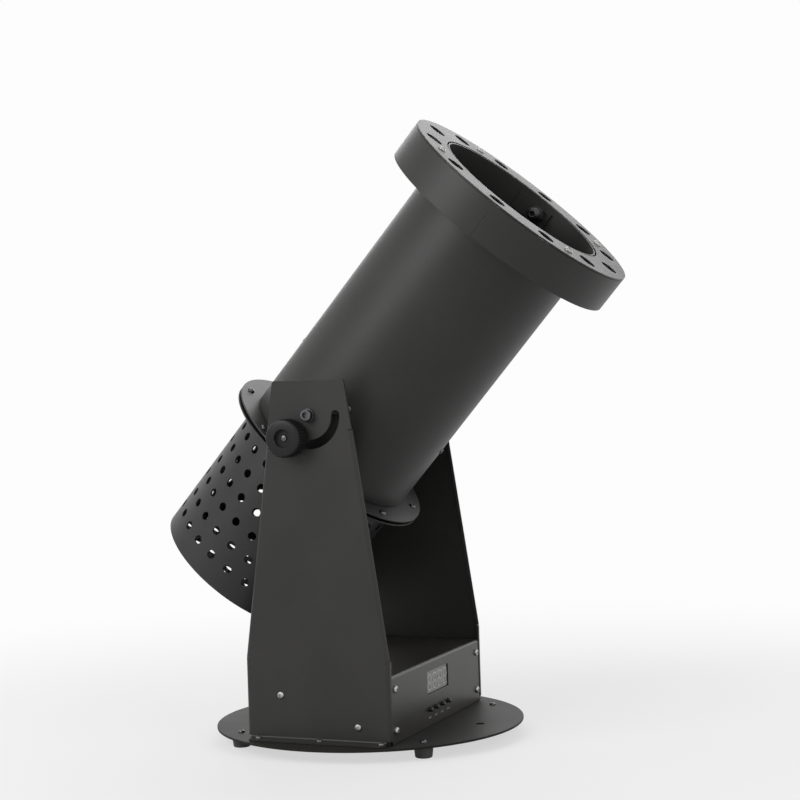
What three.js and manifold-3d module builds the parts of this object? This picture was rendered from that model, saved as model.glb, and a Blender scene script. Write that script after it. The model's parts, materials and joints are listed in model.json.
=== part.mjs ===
import * as THREE from 'three';
import { mergeVertices, mergeGeometries } from 'three/addons/utils/BufferGeometryUtils.js';
import Module from 'manifold-3d';

const wasm = await Module();
wasm.setup();

// Lengths are millimetres and angles are degrees. X runs across the stand from the left plate to the right
// plate, the control panel faces -Y, and the floor is at Z zero.

// Clearances
const seatGap = 0.3;
const roundGap = 0.45;
const screwClearance = 0.5;
const cutterOverrun = 2;
const cornerGrid = 1 / 4096;

// Base plate and feet
const baseMargin = 3.93;
const baseSheet = 2;
const baseHoleDiameter = 8;
const baseHoleInset = 33;
const footHeight = 10.5;
const footTopDiameter = 17.3;
const footSoleDiameter = 15;
const footEdge = 1.2;
const footInset = 16.3;
const footCount = 4;
const footFirstAngle = 45;
const footScrewDiameter = 4;

// Side plates
const sideGap = 10;
const plateSheet = 2;
const plateDepth = 135;
const plateAbovePivot = 30;
const plateAboveBox = 12;
const plateCornerRadius = 2.5;
const lipWidth = 5.5;
const lipBendRadius = 3.5;
const notchHeight = 0.8;
const notchDepth = 3.8;
const flangeWidth = 8.5;
const flangeBendRadius = 3.5;
const flangeInset = 4;
const flangeCornerRadius = 4;

// Tilt pivot, lock slot and lock knob
const swingGap = 14;
const restTilt = 41.3;
const tiltForward = 60;
const tiltBack = 90;
const slotWidth = 8;
const slotEdge = 4.4;
const knobGap = 3;
const boltDiameter = 6;
const boltHeadDiameter = 10;
const boltHeadHeight = 4.6;
const boltSocketWidth = 5;
const boltSocketDepth = 2.8;
const bushFlangeDiameter = 11.4;
const bushFlangeHeight = 1.5;
const bushDiameter = 10;
const washerDiameter = 18;
const washerSheet = 1.2;
const knobDiameter = 33;
const knobGripLength = 15.4;
const knobBossDiameter = 20;
const knobBossLength = 1.3;
const knobRecessDiameter = 15;
const knobRecessDepth = 4.2;
const knobFlutes = 24;
const knobFluteDepth = 0.7;
const studEndShow = 1.2;

// Barrel brackets
const bracketSheet = 3;
const bracketWidth = 22;
const bracketAbovePivot = 12;
const bracketPastStud = 10.8;
const bracketFoot = 8;
const bracketNutWidth = 10;
const bracketNutHeight = 5;

// Barrel, collar and intake
const tubeDiameter = 160;
const tubeWall = 1.5;
const barrelAbovePivot = 243;
const collarGap = 1.9;
const collarRim = 19.5;
const collarSheet = 1.5;
const gasketThickness = 2;
const collarScrewDiameter = 4;
const collarScrewInset = 8.5;
const collarScrews = 8;
const intakeLength = 140.2;
const intakeHoleDiameter = 8;
const intakeHolesAround = 25;
const intakeRingPitch = 19.7;
const intakeFirstRing = 22.7;
const intakeLastRing = 12;
const intakeFirstAngle = 133;
const grilleSheet = 1.5;
const grilleInset = 1.5;
const grilleHoleDiameter = 8;
const grillePitch = 14;
const grilleMargin = 2.5;

// Muzzle ring
const muzzleWidth = 33;
const muzzleDepth = 34.7;
const muzzleSheet = 1.5;
const muzzleBoreStep = 1.3;
const muzzleCollarHeight = 7;
const muzzleBarrelSetback = 0.3;
const lampCount = 12;
const lampHoleDiameter = 16;
const lampFirstAngle = 8.3;
const muzzleScrews = 4;
const muzzleScrewDiameter = 4;
const muzzleScrewAngle = 53.3;
const muzzleScrewHeadDiameter = 7.6;
const muzzleScrewHeadHeight = 2.2;
const muzzleScrewHeadEdge = 0.8;
const muzzleScrewHeadTopDiameter = 5;
const muzzleScrewEndShow = 3;
const lensPlateThickness = 2;
const lensRise = 3.5;
const lensChamfer = 1.2;
const lensRecess = 2.6;
const boardThickness = 1.6;
const ringPieceMargin = 4;

// Fitting in the bore
const glandAngle = 3;
const glandBelowRim = 14.5;
const glandPlateLength = 36;
const glandPlateHeight = 17;
const glandPlateSheet = 1.2;
const glandPlateOffset = 6;
const glandHexWidth = 14;
const glandHexHeight = 6;
const glandDomeDiameter = 12;
const glandDomeHeight = 9;
const glandShoulderShare = 0.6;
const glandBoreDiameter = 4.8;
const glandThreadDiameter = 9;
const glandThreadLength = 8;

// Fan
const motorDiameter = 72;
const motorLength = 76;
const motorEdge = 6;
const motorBossDiameter = 24;
const mountSheet = 2;
const mountArms = 4;
const mountArmWidth = 16;
const mountHubDiameter = 68;
const mountTabHeight = 14;
const mountAbovePivot = 18;
const mountFirstAngle = 10.5;
const mountScrewDiameter = 4;
const shaftDiameter = 8;
const shaftInMotor = 20;
const rotorAboveMount = 6;
const rotorHubDiameter = 62;
const rotorHubHeight = 24;
const rotorHubWall = 4;
const rotorSleeveDiameter = 16;
const rotorBlades = 7;
const rotorTipGap = 2;
const bladeThickness = 2;
const bladeCamber = 2;
const bladeRootChord = 27;
const bladeTipChord = 40;
const bladeRootPitch = 48;
const bladeTipPitch = 27;
const nutWidth = 13;
const nutHeight = 6.5;
const shaftEndShow = 3;

// Confetti screen
const screenAbovePivot = 82;
const screenRimHeight = 8;
const screenRimWall = 1.5;
const screenBar = 2;
const screenBarHeight = 6;
const screenBars = 12;

// Electronics box
const boxSideGap = 4;
const boxHeight = 58;
const boxEndGap = 0.5;
const boxSheet = 1.5;
const boxBendRadius = 2.5;
const panelCornerRadius = 0.8;
const innerFlange = 17;
const innerBendRadius = 2;
const displayWidth = 50.3;
const displayHeight = 20;
const displayDepth = 8;
const displayHeightShare = 0.66;
const displayRecess = 1;
const buttonPitch = 14.7;
const buttonHeightShare = 0.257;
const buttonDiameter = 3.8;
const buttonFlangeDiameter = 6;
const buttonFlangeHeight = 1.5;
const buttonShow = 3.6;
const buttonTravelRoom = 0.8;
const buttonClearance = 0.4;
const buttonEdge = 0.6;
const buttonCount = 4;
const switchWidth = 6;
const switchHeight = 3.5;
const boardWidth = 112;
const boardInset = 6;
const postDiameter = 6;
const postInset = 6;
const panelScrewDiameter = 4;
const panelScrewInset = 7.2;
const panelScrewLowShare = 0.193;
const panelScrewHighShare = 0.8;

// Connections and electronics
const inletWidth = 49;
const inletHeight = 24;
const inletPlate = 2.5;
const inletCupWidth = 29;
const inletCupHeight = 20;
const inletCupDepth = 17;
const inletWall = 2;
const inletPinWidth = 4;
const inletPinThickness = 2;
const inletPinLength = 12;
const inletPinSpread = 7;
const inletCornerRadius = 1;
const socketPlateWidth = 26;
const socketPlateHeight = 31;
const socketPlate = 2;
const socketDiameter = 22;
const socketBore = 18;
const socketDepth = 16;
const socketFloor = 3;
const socketPinDiameter = 2.4;
const socketPinCircle = 8;
const socketPins = 3;
const socketFirstPin = 30;
const socketInsertDiameter = 14;
const inletPlace = -62;
const signalInPlace = 22;
const signalOutPlace = 64;
const supplyWidthShare = 0.4645;
const supplyDepth = 52;
const supplyHeight = 36;
const supplyWall = 3;
const supplySlots = 6;
const supplySlotWidth = 4;
const supplySlotDepth = 2;
const driverWidthShare = 0.332;
const driverDepth = 46;
const driverHeight = 26;
const driverFins = 7;
const driverFinShare = 0.45;
const driverFloor = 5;
const moduleSpreadShare = 0.512;

// Worked-out places
const tubeRadius = tubeDiameter / 2;
const boreRadius = tubeRadius - tubeWall;
const collarRadius = tubeRadius + collarRim;
const collarScrewRadius = collarRadius - collarScrewInset;
const plateInside = collarRadius + sideGap;
const halfWidth = plateInside + plateSheet;
const bracketFace = plateInside - seatGap;
const flangeLength = plateDepth - 2 * flangeInset;
const flangeReach = halfWidth + flangeWidth;
const baseRadius = Math.hypot(flangeReach, flangeLength / 2) + baseMargin;
const footRadius = baseRadius - footInset;
const baseTop = footHeight + baseSheet;
const seatHeight = baseTop + seatGap;
const lockRadius = knobDiameter / 2 + bushFlangeDiameter / 2 + knobGap;
const bracketBelowPivot = lockRadius + bracketPastStud;
const muzzleRadius = tubeRadius + muzzleWidth;
const muzzleBore = tubeRadius + muzzleBoreStep;
const lampRadius = (muzzleRadius + muzzleBore) / 2;
const faceTop = barrelAbovePivot;
const faceUnder = faceTop - muzzleSheet;
const muzzleBottom = barrelAbovePivot - muzzleDepth;
const collarTop = -bracketBelowPivot - bracketFoot - collarGap;
const gasketTop = collarTop - collarSheet - seatGap;
const lowerFlangeTop = gasketTop - gasketThickness - seatGap;
const intakeTop = lowerFlangeTop - collarSheet - seatGap;
const intakeEnd = intakeTop - intakeLength;
const intakeRings = 1 + Math.floor((intakeLength - intakeFirstRing - intakeLastRing) / intakeRingPitch);
const boxWidth = 2 * (plateInside - boxSideGap);
const boxDepth = plateDepth - 2 * boxEndGap;
const boxTop = baseTop + boxHeight;
const pivotZ = boxTop + swingGap + Math.hypot(intakeEnd, tubeRadius);
const plateTop = pivotZ + plateAbovePivot;
const plateBend = boxTop + plateAboveBox;
const panelFace = -boxDepth / 2;
const panelInside = panelFace + boxSheet;
const displayBack = panelInside + seatGap + displayDepth;
const boardFront = displayBack + seatGap;
const rearFace = boxDepth / 2;
const displayMiddle = baseTop + boxHeight * displayHeightShare;
const buttonMiddle = baseTop + boxHeight * buttonHeightShare;
const boardHeight = boxHeight - 2 * boardInset;
const supplyWidth = boxWidth * supplyWidthShare;
const driverWidth = boxWidth * driverWidthShare;
const moduleSpread = boxWidth * moduleSpreadShare;
const mountPlateTop = mountAbovePivot + mountTabHeight / 2;
const mountPlateUnder = mountPlateTop - mountSheet;
const motorTop = mountPlateUnder - seatGap;
const rotorBottom = mountPlateTop + rotorAboveMount;
const rotorTop = rotorBottom + rotorHubHeight;
const insideTube = boreRadius - roundGap;

// Rounding of curves, in flat facets per turn, and per bend or corner
const largeFacets = 40;
const intakeFacets = 2 * intakeHolesAround;
const mediumFacets = 24;
const smallFacets = 14;
const tinyFacets = 10;
const holeFacets = 6;
const screwHoleFacets = 8;
const hexFacets = 6;
const cornerFacets = 1;
const bendFacets = 3;
const slotFacets = 10;
const quarterTurn = Math.PI / 2;
const halfTurn = Math.PI;
const radians = THREE.MathUtils.degToRad;

// Colours and finishes
const finishes = {
  blackSteel: { color: 0x2b2a29, roughness: 0.45, metalness: 0.35 },
  innerSteel: { color: 0x1f1e1d, roughness: 0.5, metalness: 0.35 },
  galvanised: { color: 0x9a9c9c, roughness: 0.4, metalness: 0.8 },
  darkRubber: { color: 0x4a4a4a, roughness: 0.85, metalness: 0 },
  darkPlastic: { color: 0x161616, roughness: 0.5, metalness: 0 },
  knobPlastic: { color: 0x2a2a2b, roughness: 0.4, metalness: 0.2 },
  screwSteel: { color: 0x55565a, roughness: 0.35, metalness: 0.85 },
  brightSteel: { color: 0xb9bbbd, roughness: 0.3, metalness: 0.9 },
  displayFace: { color: 0x9d9f9a, roughness: 0.3, metalness: 0 },
  clearLens: { color: 0xb9bcc0, roughness: 0.15, metalness: 0 },
  boardGreen: { color: 0x1f4a2c, roughness: 0.5, metalness: 0 },
  whiteBoard: { color: 0xdadbd6, roughness: 0.5, metalness: 0 },
};

// A closed mesh made ready for joining and cutting, with its faces turned out. Its corners lie on a fine grid,
// so that shapes that meet share them exactly.
function toSolid(geometry) {
  const bare = geometry.clone();
  bare.deleteAttribute('normal');
  bare.deleteAttribute('uv');
  const loose = bare.attributes.position.array;
  const snapped = Float32Array.from(loose, (v) => Math.round(v / cornerGrid) * cornerGrid);
  bare.setAttribute('position', new THREE.BufferAttribute(snapped, 3));
  const merged = mergeVertices(bare);
  const places = merged.attributes.position.array;
  const corners = Uint32Array.from(merged.index.array);
  if (signedVolume(places, corners) < 0) {
    for (let i = 0; i < corners.length; i += 3) {
      const kept = corners[i];
      corners[i] = corners[i + 1];
      corners[i + 1] = kept;
    }
  }
  const mesh = new wasm.Mesh({ numProp: 3, vertProperties: new Float32Array(places), triVerts: corners });
  return new wasm.Manifold(mesh);
}

function signedVolume(places, corners) {
  const a = new THREE.Vector3();
  const b = new THREE.Vector3();
  const c = new THREE.Vector3();
  let sum = 0;
  for (let i = 0; i < corners.length; i += 3) {
    a.fromArray(places, 3 * corners[i]);
    b.fromArray(places, 3 * corners[i + 1]);
    c.fromArray(places, 3 * corners[i + 2]);
    sum += a.dot(b.cross(c));
  }
  return sum;
}

function toGeometry(solid) {
  const mesh = solid.getMesh();
  const geometry = new THREE.BufferGeometry();
  geometry.setAttribute('position', new THREE.BufferAttribute(mesh.vertProperties, 3));
  geometry.setIndex(new THREE.BufferAttribute(mesh.triVerts, 1));
  geometry.computeVertexNormals();
  return geometry;
}

function join(...geometries) {
  return toGeometry(geometries.map(toSolid).reduce((a, b) => a.add(b)));
}

function cut(geometry, ...cutters) {
  return toGeometry(cutters.map(toSolid).reduce((a, b) => a.subtract(b), toSolid(geometry)));
}

function common(a, b) {
  return toGeometry(toSolid(a).intersect(toSolid(b)));
}

// Cutters that don't touch one another, gathered into one
function together(geometries) {
  return mergeGeometries(geometries.map((g) => {
    const bare = g.index ? g.toNonIndexed() : g.clone();
    bare.deleteAttribute('normal');
    bare.deleteAttribute('uv');
    return bare;
  }));
}

function mirrored(geometry) {
  return toGeometry(toSolid(geometry.clone().scale(-1, 1, 1)));
}

// A turned piece around Z, from a closed list of radius and height pairs
function turned(profile, facets = largeFacets) {
  const points = [...profile, profile[0]].map(([r, z]) => new THREE.Vector2(r, z));
  const geometry = new THREE.LatheGeometry(points, facets);
  geometry.rotateX(quarterTurn);
  return toGeometry(toSolid(geometry));
}

function disc(radius, bottom, top, facets = largeFacets) {
  return rod(radius, top - bottom, facets).translate(0, 0, bottom);
}

function ring(inner, outer, bottom, top, facets = largeFacets) {
  return turned([[inner, bottom], [outer, bottom], [outer, top], [inner, top]], facets);
}

// A round bar that stands on Z zero
function rod(radius, length, facets = smallFacets) {
  const geometry = new THREE.CylinderGeometry(radius, radius, length, facets);
  geometry.rotateX(quarterTurn);
  geometry.translate(0, 0, length / 2);
  return geometry;
}

function hexBar(width, length) {
  return rod(width / Math.sqrt(3), length, hexFacets);
}

// A box from its lowest and highest corners
function block(low, high) {
  const size = high.map((h, i) => h - low[i]);
  const geometry = new THREE.BoxGeometry(...size);
  return geometry.translate(...high.map((h, i) => (h + low[i]) / 2));
}

// Points on an arc in X and Y, and all round a circle
function arc(x, y, radius, from, to, facets) {
  return Array.from({ length: facets + 1 }, (_, i) => {
    const [dx, dy] = polar(radius, from + ((to - from) * i) / facets);
    return [x + dx, y + dy];
  });
}

function circle(x, y, radius, facets) {
  return evenAngles(facets).map((angle) => {
    const [dx, dy] = polar(radius, angle);
    return [x + dx, y + dy];
  });
}

function polar(radius, degrees) {
  return [radius * Math.cos(radians(degrees)), radius * Math.sin(radians(degrees))];
}

function roundedRectangle(width, height, radius, facets = bendFacets) {
  const x = width / 2 - radius;
  const y = height / 2 - radius;
  return [
    ...arc(x, y, radius, 0, 90, facets),
    ...arc(-x, y, radius, 90, 180, facets),
    ...arc(-x, -y, radius, 180, 270, facets),
    ...arc(x, -y, radius, 270, 360, facets),
  ];
}

// An outline with its holes, thickened towards +Z
function extruded(points, depth, holes = []) {
  const corners = (list) => list.map(([x, y]) => new THREE.Vector2(x, y));
  const shape = new THREE.Shape(corners(points));
  shape.holes = holes.map((list) => new THREE.Path(corners(list)));
  return new THREE.ExtrudeGeometry(shape, { depth, bevelEnabled: false });
}

// A flat outline drawn in Y and Z, thickened towards +X from the given X
function onSide(geometry, x) {
  const turn = new THREE.Matrix4().makeBasis(
    new THREE.Vector3(0, 1, 0),
    new THREE.Vector3(0, 0, 1),
    new THREE.Vector3(1, 0, 0),
  );
  return geometry.applyMatrix4(turn).translate(x, 0, 0);
}

// A flat outline drawn in X and Z, thickened towards -Y from the given Y
function onFront(geometry, y) {
  return geometry.rotateX(quarterTurn).translate(0, y, 0);
}

// The same seen from behind: X and Z, thickened towards +Y
function onRear(geometry, y) {
  return geometry.rotateX(quarterTurn).rotateZ(halfTurn).translate(0, y, 0);
}

// A bar along Z laid along X, from the given X outwards
function alongX(geometry, x) {
  return geometry.rotateY(quarterTurn).translate(x, 0, 0);
}

// Something drawn on the +X side, turned about Z
function aroundAxis(geometry, degrees) {
  return geometry.clone().rotateZ(radians(degrees));
}

function evenAngles(count, first = 0) {
  return Array.from({ length: count }, (_, i) => first + (i * 360) / count);
}

function piece(parent, name, geometry, finish) {
  const mesh = new THREE.Mesh(geometry, new THREE.MeshStandardMaterial(finish));
  mesh.name = name;
  parent.add(mesh);
  return mesh;
}

// Base plate
function baseDisc() {
  const fixing = [-1, 1].map((side) => (
    circle(0, side * (baseRadius - baseHoleInset), baseHoleDiameter / 2, tinyFacets)
  ));
  const feet = screwHoles(footRadius, evenAngles(footCount, footFirstAngle), footScrewDiameter);
  const rim = circle(0, 0, baseRadius, largeFacets);
  return extruded(rim, baseSheet, [...fixing, ...feet]).translate(0, 0, footHeight);
}

function screwHoles(radius, angles, diameter) {
  const hole = diameter / 2 + screwClearance;
  return angles.map((angle) => circle(...polar(radius, angle), hole, screwHoleFacets));
}

function rubberFoot() {
  const top = footHeight - seatGap;
  const sole = footSoleDiameter / 2;
  return turned([
    [0, 0],
    [sole - footEdge, 0],
    [sole, footEdge],
    [footTopDiameter / 2, top],
    [0, top],
  ], smallFacets);
}

// Side plate, drawn for the right side: the web with its slot, the lips and the foot flange
function sidePlate() {
  const holes = [lockSlot(), circle(0, pivotZ, bushDiameter / 2 + seatGap, smallFacets)];
  const sheet = onSide(extruded(plateOutline(), plateSheet, holes), plateInside);
  return join(sheet, plateLip(-1), plateLip(1), footFlange());
}

function plateOutline() {
  const deep = plateDepth / 2 - lipBendRadius;
  const full = plateDepth / 2;
  const top = lockRadius + slotWidth / 2 + slotEdge;
  const low = seatHeight + flangeBendRadius;
  const start = plateBend + notchHeight;
  const corner = plateCornerRadius;
  const right = [
    [deep, low],
    [deep, plateBend],
    [full - notchDepth, plateBend],
    [full - notchDepth, start],
    [full, start],
    [top, plateTop - corner],
    [top - corner, plateTop],
  ];
  const left = right.map(([y, z]) => [-y, z]).reverse();
  return [...right, ...left];
}

function lockSlot() {
  const from = -tiltBack - 90;
  const to = tiltForward - 90;
  const half = slotWidth / 2;
  const middle = (angle) => {
    const [y, z] = polar(lockRadius, angle);
    return [y, pivotZ + z];
  };
  return [
    ...arc(0, pivotZ, lockRadius + half, from, to, slotFacets),
    ...arc(...middle(to), half, to, to + 180, 2 * bendFacets).slice(1, -1),
    ...arc(0, pivotZ, lockRadius - half, to, from, slotFacets),
    ...arc(...middle(from), half, from + 180, from + 360, 2 * bendFacets).slice(1, -1),
  ];
}

// A bent strip: an arc of the sheet followed by a straight run, drawn in a plane and thickened
function bentStrip(bend, sheet, run, length) {
  const shape = [
    ...arc(0, 0, bend, 0, 90, bendFacets),
    [-run, bend],
    [-run, bend - sheet],
    ...arc(0, 0, bend - sheet, 90, 0, bendFacets),
  ];
  return extruded(shape, length);
}

function plateLip(side) {
  const height = plateBend - seatHeight - flangeBendRadius;
  const run = lipWidth - lipBendRadius;
  const strip = bentStrip(lipBendRadius, plateSheet, run, height);
  strip.scale(1, side, 1);
  const y = side * (plateDepth / 2 - lipBendRadius);
  return strip.translate(halfWidth - lipBendRadius, y, seatHeight + flangeBendRadius);
}

function footFlange() {
  const run = flangeWidth - flangeBendRadius + plateSheet;
  const outer = flangeBendRadius;
  const strip = bentStrip(outer, plateSheet, run, flangeLength);
  strip.rotateX(-quarterTurn).rotateZ(halfTurn);
  strip.translate(plateInside + outer, flangeLength / 2, seatHeight + outer);
  const trim = extruded(roundedRectangle(2 * flangeReach, flangeLength, flangeCornerRadius), plateTop);
  return common(strip, trim);
}

// Pivot and lock hardware, drawn for the right side around the barrel's pivot
function pivotBush() {
  const bore = boltDiameter / 2 + seatGap;
  const seat = halfWidth + seatGap;
  return turned([
    [bore, plateInside + seatGap],
    [bushDiameter / 2, plateInside + seatGap],
    [bushDiameter / 2, seat],
    [bushFlangeDiameter / 2, seat],
    [bushFlangeDiameter / 2, seat + bushFlangeHeight],
    [bore, seat + bushFlangeHeight],
  ], smallFacets).rotateY(quarterTurn);
}

function pivotBolt() {
  const seat = halfWidth + 2 * seatGap + bushFlangeHeight;
  const head = alongX(rod(boltHeadDiameter / 2, boltHeadHeight), seat);
  const socket = alongX(hexBar(boltSocketWidth, boltSocketDepth + cutterOverrun), 0);
  socket.translate(seat + boltHeadHeight - boltSocketDepth, 0, 0);
  const inner = bracketFace - bracketSheet - bracketNutHeight;
  const shank = alongX(rod(boltDiameter / 2, seat - inner + seatGap), inner);
  return cut(join(head, shank), socket);
}

function lockStud() {
  const inner = bracketFace - bracketSheet - bracketNutHeight;
  const end = knobFace() - knobRecessDepth + studEndShow;
  const shank = alongX(rod(boltDiameter / 2, end - inner), inner);
  return shank.translate(0, 0, -lockRadius);
}

function knobFace() {
  return halfWidth + washerSheet + 2 * seatGap + knobBossLength + knobGripLength;
}

function knobWasher() {
  const washer = ring(boltDiameter / 2 + seatGap, washerDiameter / 2, 0, washerSheet, smallFacets);
  return alongX(washer, halfWidth + seatGap).translate(0, 0, -lockRadius);
}

function lockKnob() {
  const body = extruded(knobOutline(), knobGripLength);
  const boss = rod(knobBossDiameter / 2, knobBossLength + seatGap).translate(0, 0, -knobBossLength);
  const recess = rod(knobRecessDiameter / 2, knobRecessDepth + cutterOverrun);
  recess.translate(0, 0, knobGripLength - knobRecessDepth);
  const bore = rod(boltDiameter / 2 + seatGap, knobBossLength + knobGripLength + 2 * cutterOverrun);
  bore.translate(0, 0, -knobBossLength - cutterOverrun);
  const knob = cut(join(body, boss), recess, bore);
  return alongX(knob, knobFace() - knobGripLength).translate(0, 0, -lockRadius);
}

function knobOutline() {
  const points = [];
  const radius = knobDiameter / 2;
  for (const angle of evenAngles(2 * knobFlutes)) {
    const crest = points.length % 2 === 0;
    points.push(polar(crest ? radius : radius - knobFluteDepth, angle));
  }
  return points;
}

// Bracket between the barrel and the side plate, drawn for the right side
function barrelBracket() {
  const half = bracketWidth / 2;
  const back = bracketFace - bracketSheet;
  const low = -bracketBelowPivot;
  const high = bracketAbovePivot;
  const bottom = low - bracketFoot;
  const top = high + bracketFoot;
  const slab = (inner, from, to) => block([inner, -half, from], [bracketFace, half, to]);
  const arms = [slab(back, low, high), slab(0, high - bracketSheet, high), slab(0, low, low + bracketSheet)];
  const reach = tubeRadius + roundGap;
  const shell = ring(0, reach + bracketSheet, bottom, top);
  const feet = [slab(0, high - bracketSheet, top), slab(0, bottom, low + bracketSheet)];
  const nut = hexBar(bracketNutWidth, bracketNutHeight + seatGap);
  const bore = rod(boltDiameter / 2 + seatGap, bracketFace);
  const places = [0, -lockRadius];
  const nuts = places.map((z) => alongX(nut.clone(), back - bracketNutHeight).translate(0, 0, z));
  const bores = places.map((z) => alongX(bore.clone(), tubeRadius).translate(0, 0, z));
  const whole = join(...arms, ...feet.map((zone) => common(shell, zone)), ...nuts);
  const barrel = disc(reach, bottom - cutterOverrun, top + cutterOverrun);
  return cut(whole, barrel, ...bores);
}

// Barrel tube with the holes of the fan mount's screws and of the lead gland
function barrelTube() {
  const top = barrelAbovePivot - muzzleBarrelSetback;
  const tube = ring(boreRadius, tubeRadius, collarTop + seatGap, top);
  const across = tubeWall + 2 * cutterOverrun;
  const inner = boreRadius - cutterOverrun;
  const screwHole = alongX(rod(mountScrewDiameter / 2 + seatGap, across, holeFacets), inner);
  const screws = evenAngles(mountArms, mountFirstAngle).map((angle) => (
    aroundAxis(screwHole.clone().translate(0, 0, mountAbovePivot), angle)
  ));
  const gland = alongX(rod(glandThreadDiameter / 2 + seatGap, across, tinyFacets), inner);
  gland.translate(0, 0, barrelAbovePivot - glandBelowRim);
  return cut(tube, together([...screws, aroundAxis(gland, glandAngle)]));
}

// The two plates of the collar and the gasket between them
function collarPlate(top) {
  const angles = evenAngles(collarScrews, 180 / collarScrews);
  const screws = screwHoles(collarScrewRadius, angles, collarScrewDiameter);
  const bore = circle(0, 0, boreRadius, largeFacets);
  const plate = extruded(circle(0, 0, collarRadius, largeFacets), collarSheet, [bore, ...screws]);
  return plate.translate(0, 0, top - collarSheet);
}

function flangeGasket() {
  const outer = collarScrewRadius - collarScrewDiameter;
  return ring(boreRadius, outer, gasketTop - gasketThickness, gasketTop);
}

// Perforated intake tube, made of flat facets, where every second ring of holes is half a step on
function intakeGuard() {
  const places = [];
  for (let index = 0; index < intakeFacets; index += 1) {
    places.push(...intakeFacet(index));
  }
  const geometry = new THREE.BufferGeometry();
  geometry.setAttribute('position', new THREE.Float32BufferAttribute(places.flat(), 3));
  return toGeometry(toSolid(geometry));
}

// The corners of one facet's triangles: its outside, inside, hole walls and two ends
function intakeFacet(index) {
  const step = 360 / intakeFacets;
  const edge = (i) => intakeFirstAngle + ((i % intakeFacets) - 0.5) * step;
  const [cosine, sine] = polar(1, intakeFirstAngle + index * step);
  const allRows = Array.from({ length: intakeRings }, (_, row) => row);
  const rows = allRows.filter((row) => row % 2 === index % 2);
  const holes = rows.map((row) => (
    circle(0, intakeEnd + intakeFirstRing + row * intakeRingPitch, intakeHoleDiameter / 2, holeFacets)
  ));
  const layer = (radius) => {
    const far = radius * Math.cos(radians(step / 2));
    const corners = [[0, intakeEnd], [1, intakeEnd], [1, intakeTop], [0, intakeTop]];
    return [
      ...corners.map(([side, z]) => [...polar(radius, edge(index + side)), z]),
      ...holes.flat().map(([t, z]) => [far * cosine - t * sine, far * sine + t * cosine, z]),
    ];
  };
  const outside = layer(tubeRadius);
  const inside = layer(boreRadius);
  const wall = (a, b) => [outside[a], outside[b], inside[b], outside[a], inside[b], inside[a]];
  const reach = tubeRadius * Math.sin(radians(step / 2));
  const contour = [[-reach, intakeEnd], [reach, intakeEnd], [reach, intakeTop], [-reach, intakeTop]];
  const flat = (list) => list.map(([x, y]) => new THREE.Vector2(x, y));
  const faces = THREE.ShapeUtils.triangulateShape(flat(contour), holes.map(flat));
  const corners = faces.flatMap(([a, b, c]) => (
    [outside[a], outside[b], outside[c], inside[a], inside[c], inside[b]]
  ));
  corners.push(...wall(1, 0), ...wall(3, 2));
  holes.forEach((hole, row) => {
    const first = contour.length + row * hole.length;
    hole.forEach((_, i) => corners.push(...wall(first + i, first + ((i + 1) % hole.length))));
  });
  return corners;
}

// Perforated plate in the end of the intake tube
function intakeGrille() {
  const rowStep = grillePitch * Math.sin(radians(60));
  const reach = insideTube - grilleMargin - grilleHoleDiameter / 2;
  const rows = Math.ceil(reach / rowStep);
  const holes = [];
  for (let row = -rows; row <= rows; row += 1) {
    for (let column = -rows - 1; column <= rows + 1; column += 1) {
      const x = (column + (Math.abs(row) % 2) / 2) * grillePitch;
      const y = row * rowStep;
      if (Math.hypot(x, y) <= reach) {
        holes.push(circle(x, y, grilleHoleDiameter / 2, holeFacets));
      }
    }
  }
  const plate = extruded(circle(0, 0, insideTube, largeFacets), grilleSheet, holes);
  return plate.translate(0, 0, intakeEnd + grilleInset);
}

// Muzzle ring: a drum with a floor, closed at the top by the face plate
function muzzleHousing() {
  const outer = muzzleRadius;
  const inner = tubeRadius + roundGap;
  const top = faceUnder - seatGap;
  const floorTop = muzzleBottom + muzzleSheet;
  const drum = turned([
    [inner, muzzleBottom],
    [outer, muzzleBottom],
    [outer, top],
    [outer - muzzleSheet, top],
    [outer - muzzleSheet, floorTop],
    [inner + muzzleSheet, floorTop],
    [inner + muzzleSheet, muzzleBottom + muzzleCollarHeight],
    [inner, muzzleBottom + muzzleCollarHeight],
  ]);
  return cut(drum, together(muzzleScrewHoles(muzzleBottom, muzzleSheet)));
}

function muzzleScrewHoles(bottom, thickness) {
  return evenAngles(muzzleScrews, muzzleScrewAngle).map((angle) => {
    const [x, y] = polar(lampRadius, angle);
    const radius = muzzleScrewDiameter / 2 + screwClearance;
    const hole = rod(radius, thickness + 2 * cutterOverrun, screwHoleFacets);
    return hole.translate(x, y, bottom - cutterOverrun);
  });
}

function ringPlate(outer, inner, thickness, holes = []) {
  const screws = screwHoles(lampRadius, evenAngles(muzzleScrews, muzzleScrewAngle), muzzleScrewDiameter);
  const bore = circle(0, 0, inner, largeFacets);
  return extruded(circle(0, 0, outer, largeFacets), thickness, [bore, ...screws, ...holes]);
}

function muzzleFace() {
  const lamps = evenAngles(lampCount, lampFirstAngle).map((angle) => (
    circle(...polar(lampRadius, angle), lampHoleDiameter / 2, tinyFacets)
  ));
  return ringPlate(muzzleRadius, muzzleBore, muzzleSheet, lamps).translate(0, 0, faceUnder);
}

const lensTop = faceTop - lensRecess;
const lensPlateTop = lensTop - lensRise;
const lensPlateUnder = lensPlateTop - lensPlateThickness;
const boardTop = lensPlateUnder - seatGap;

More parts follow.
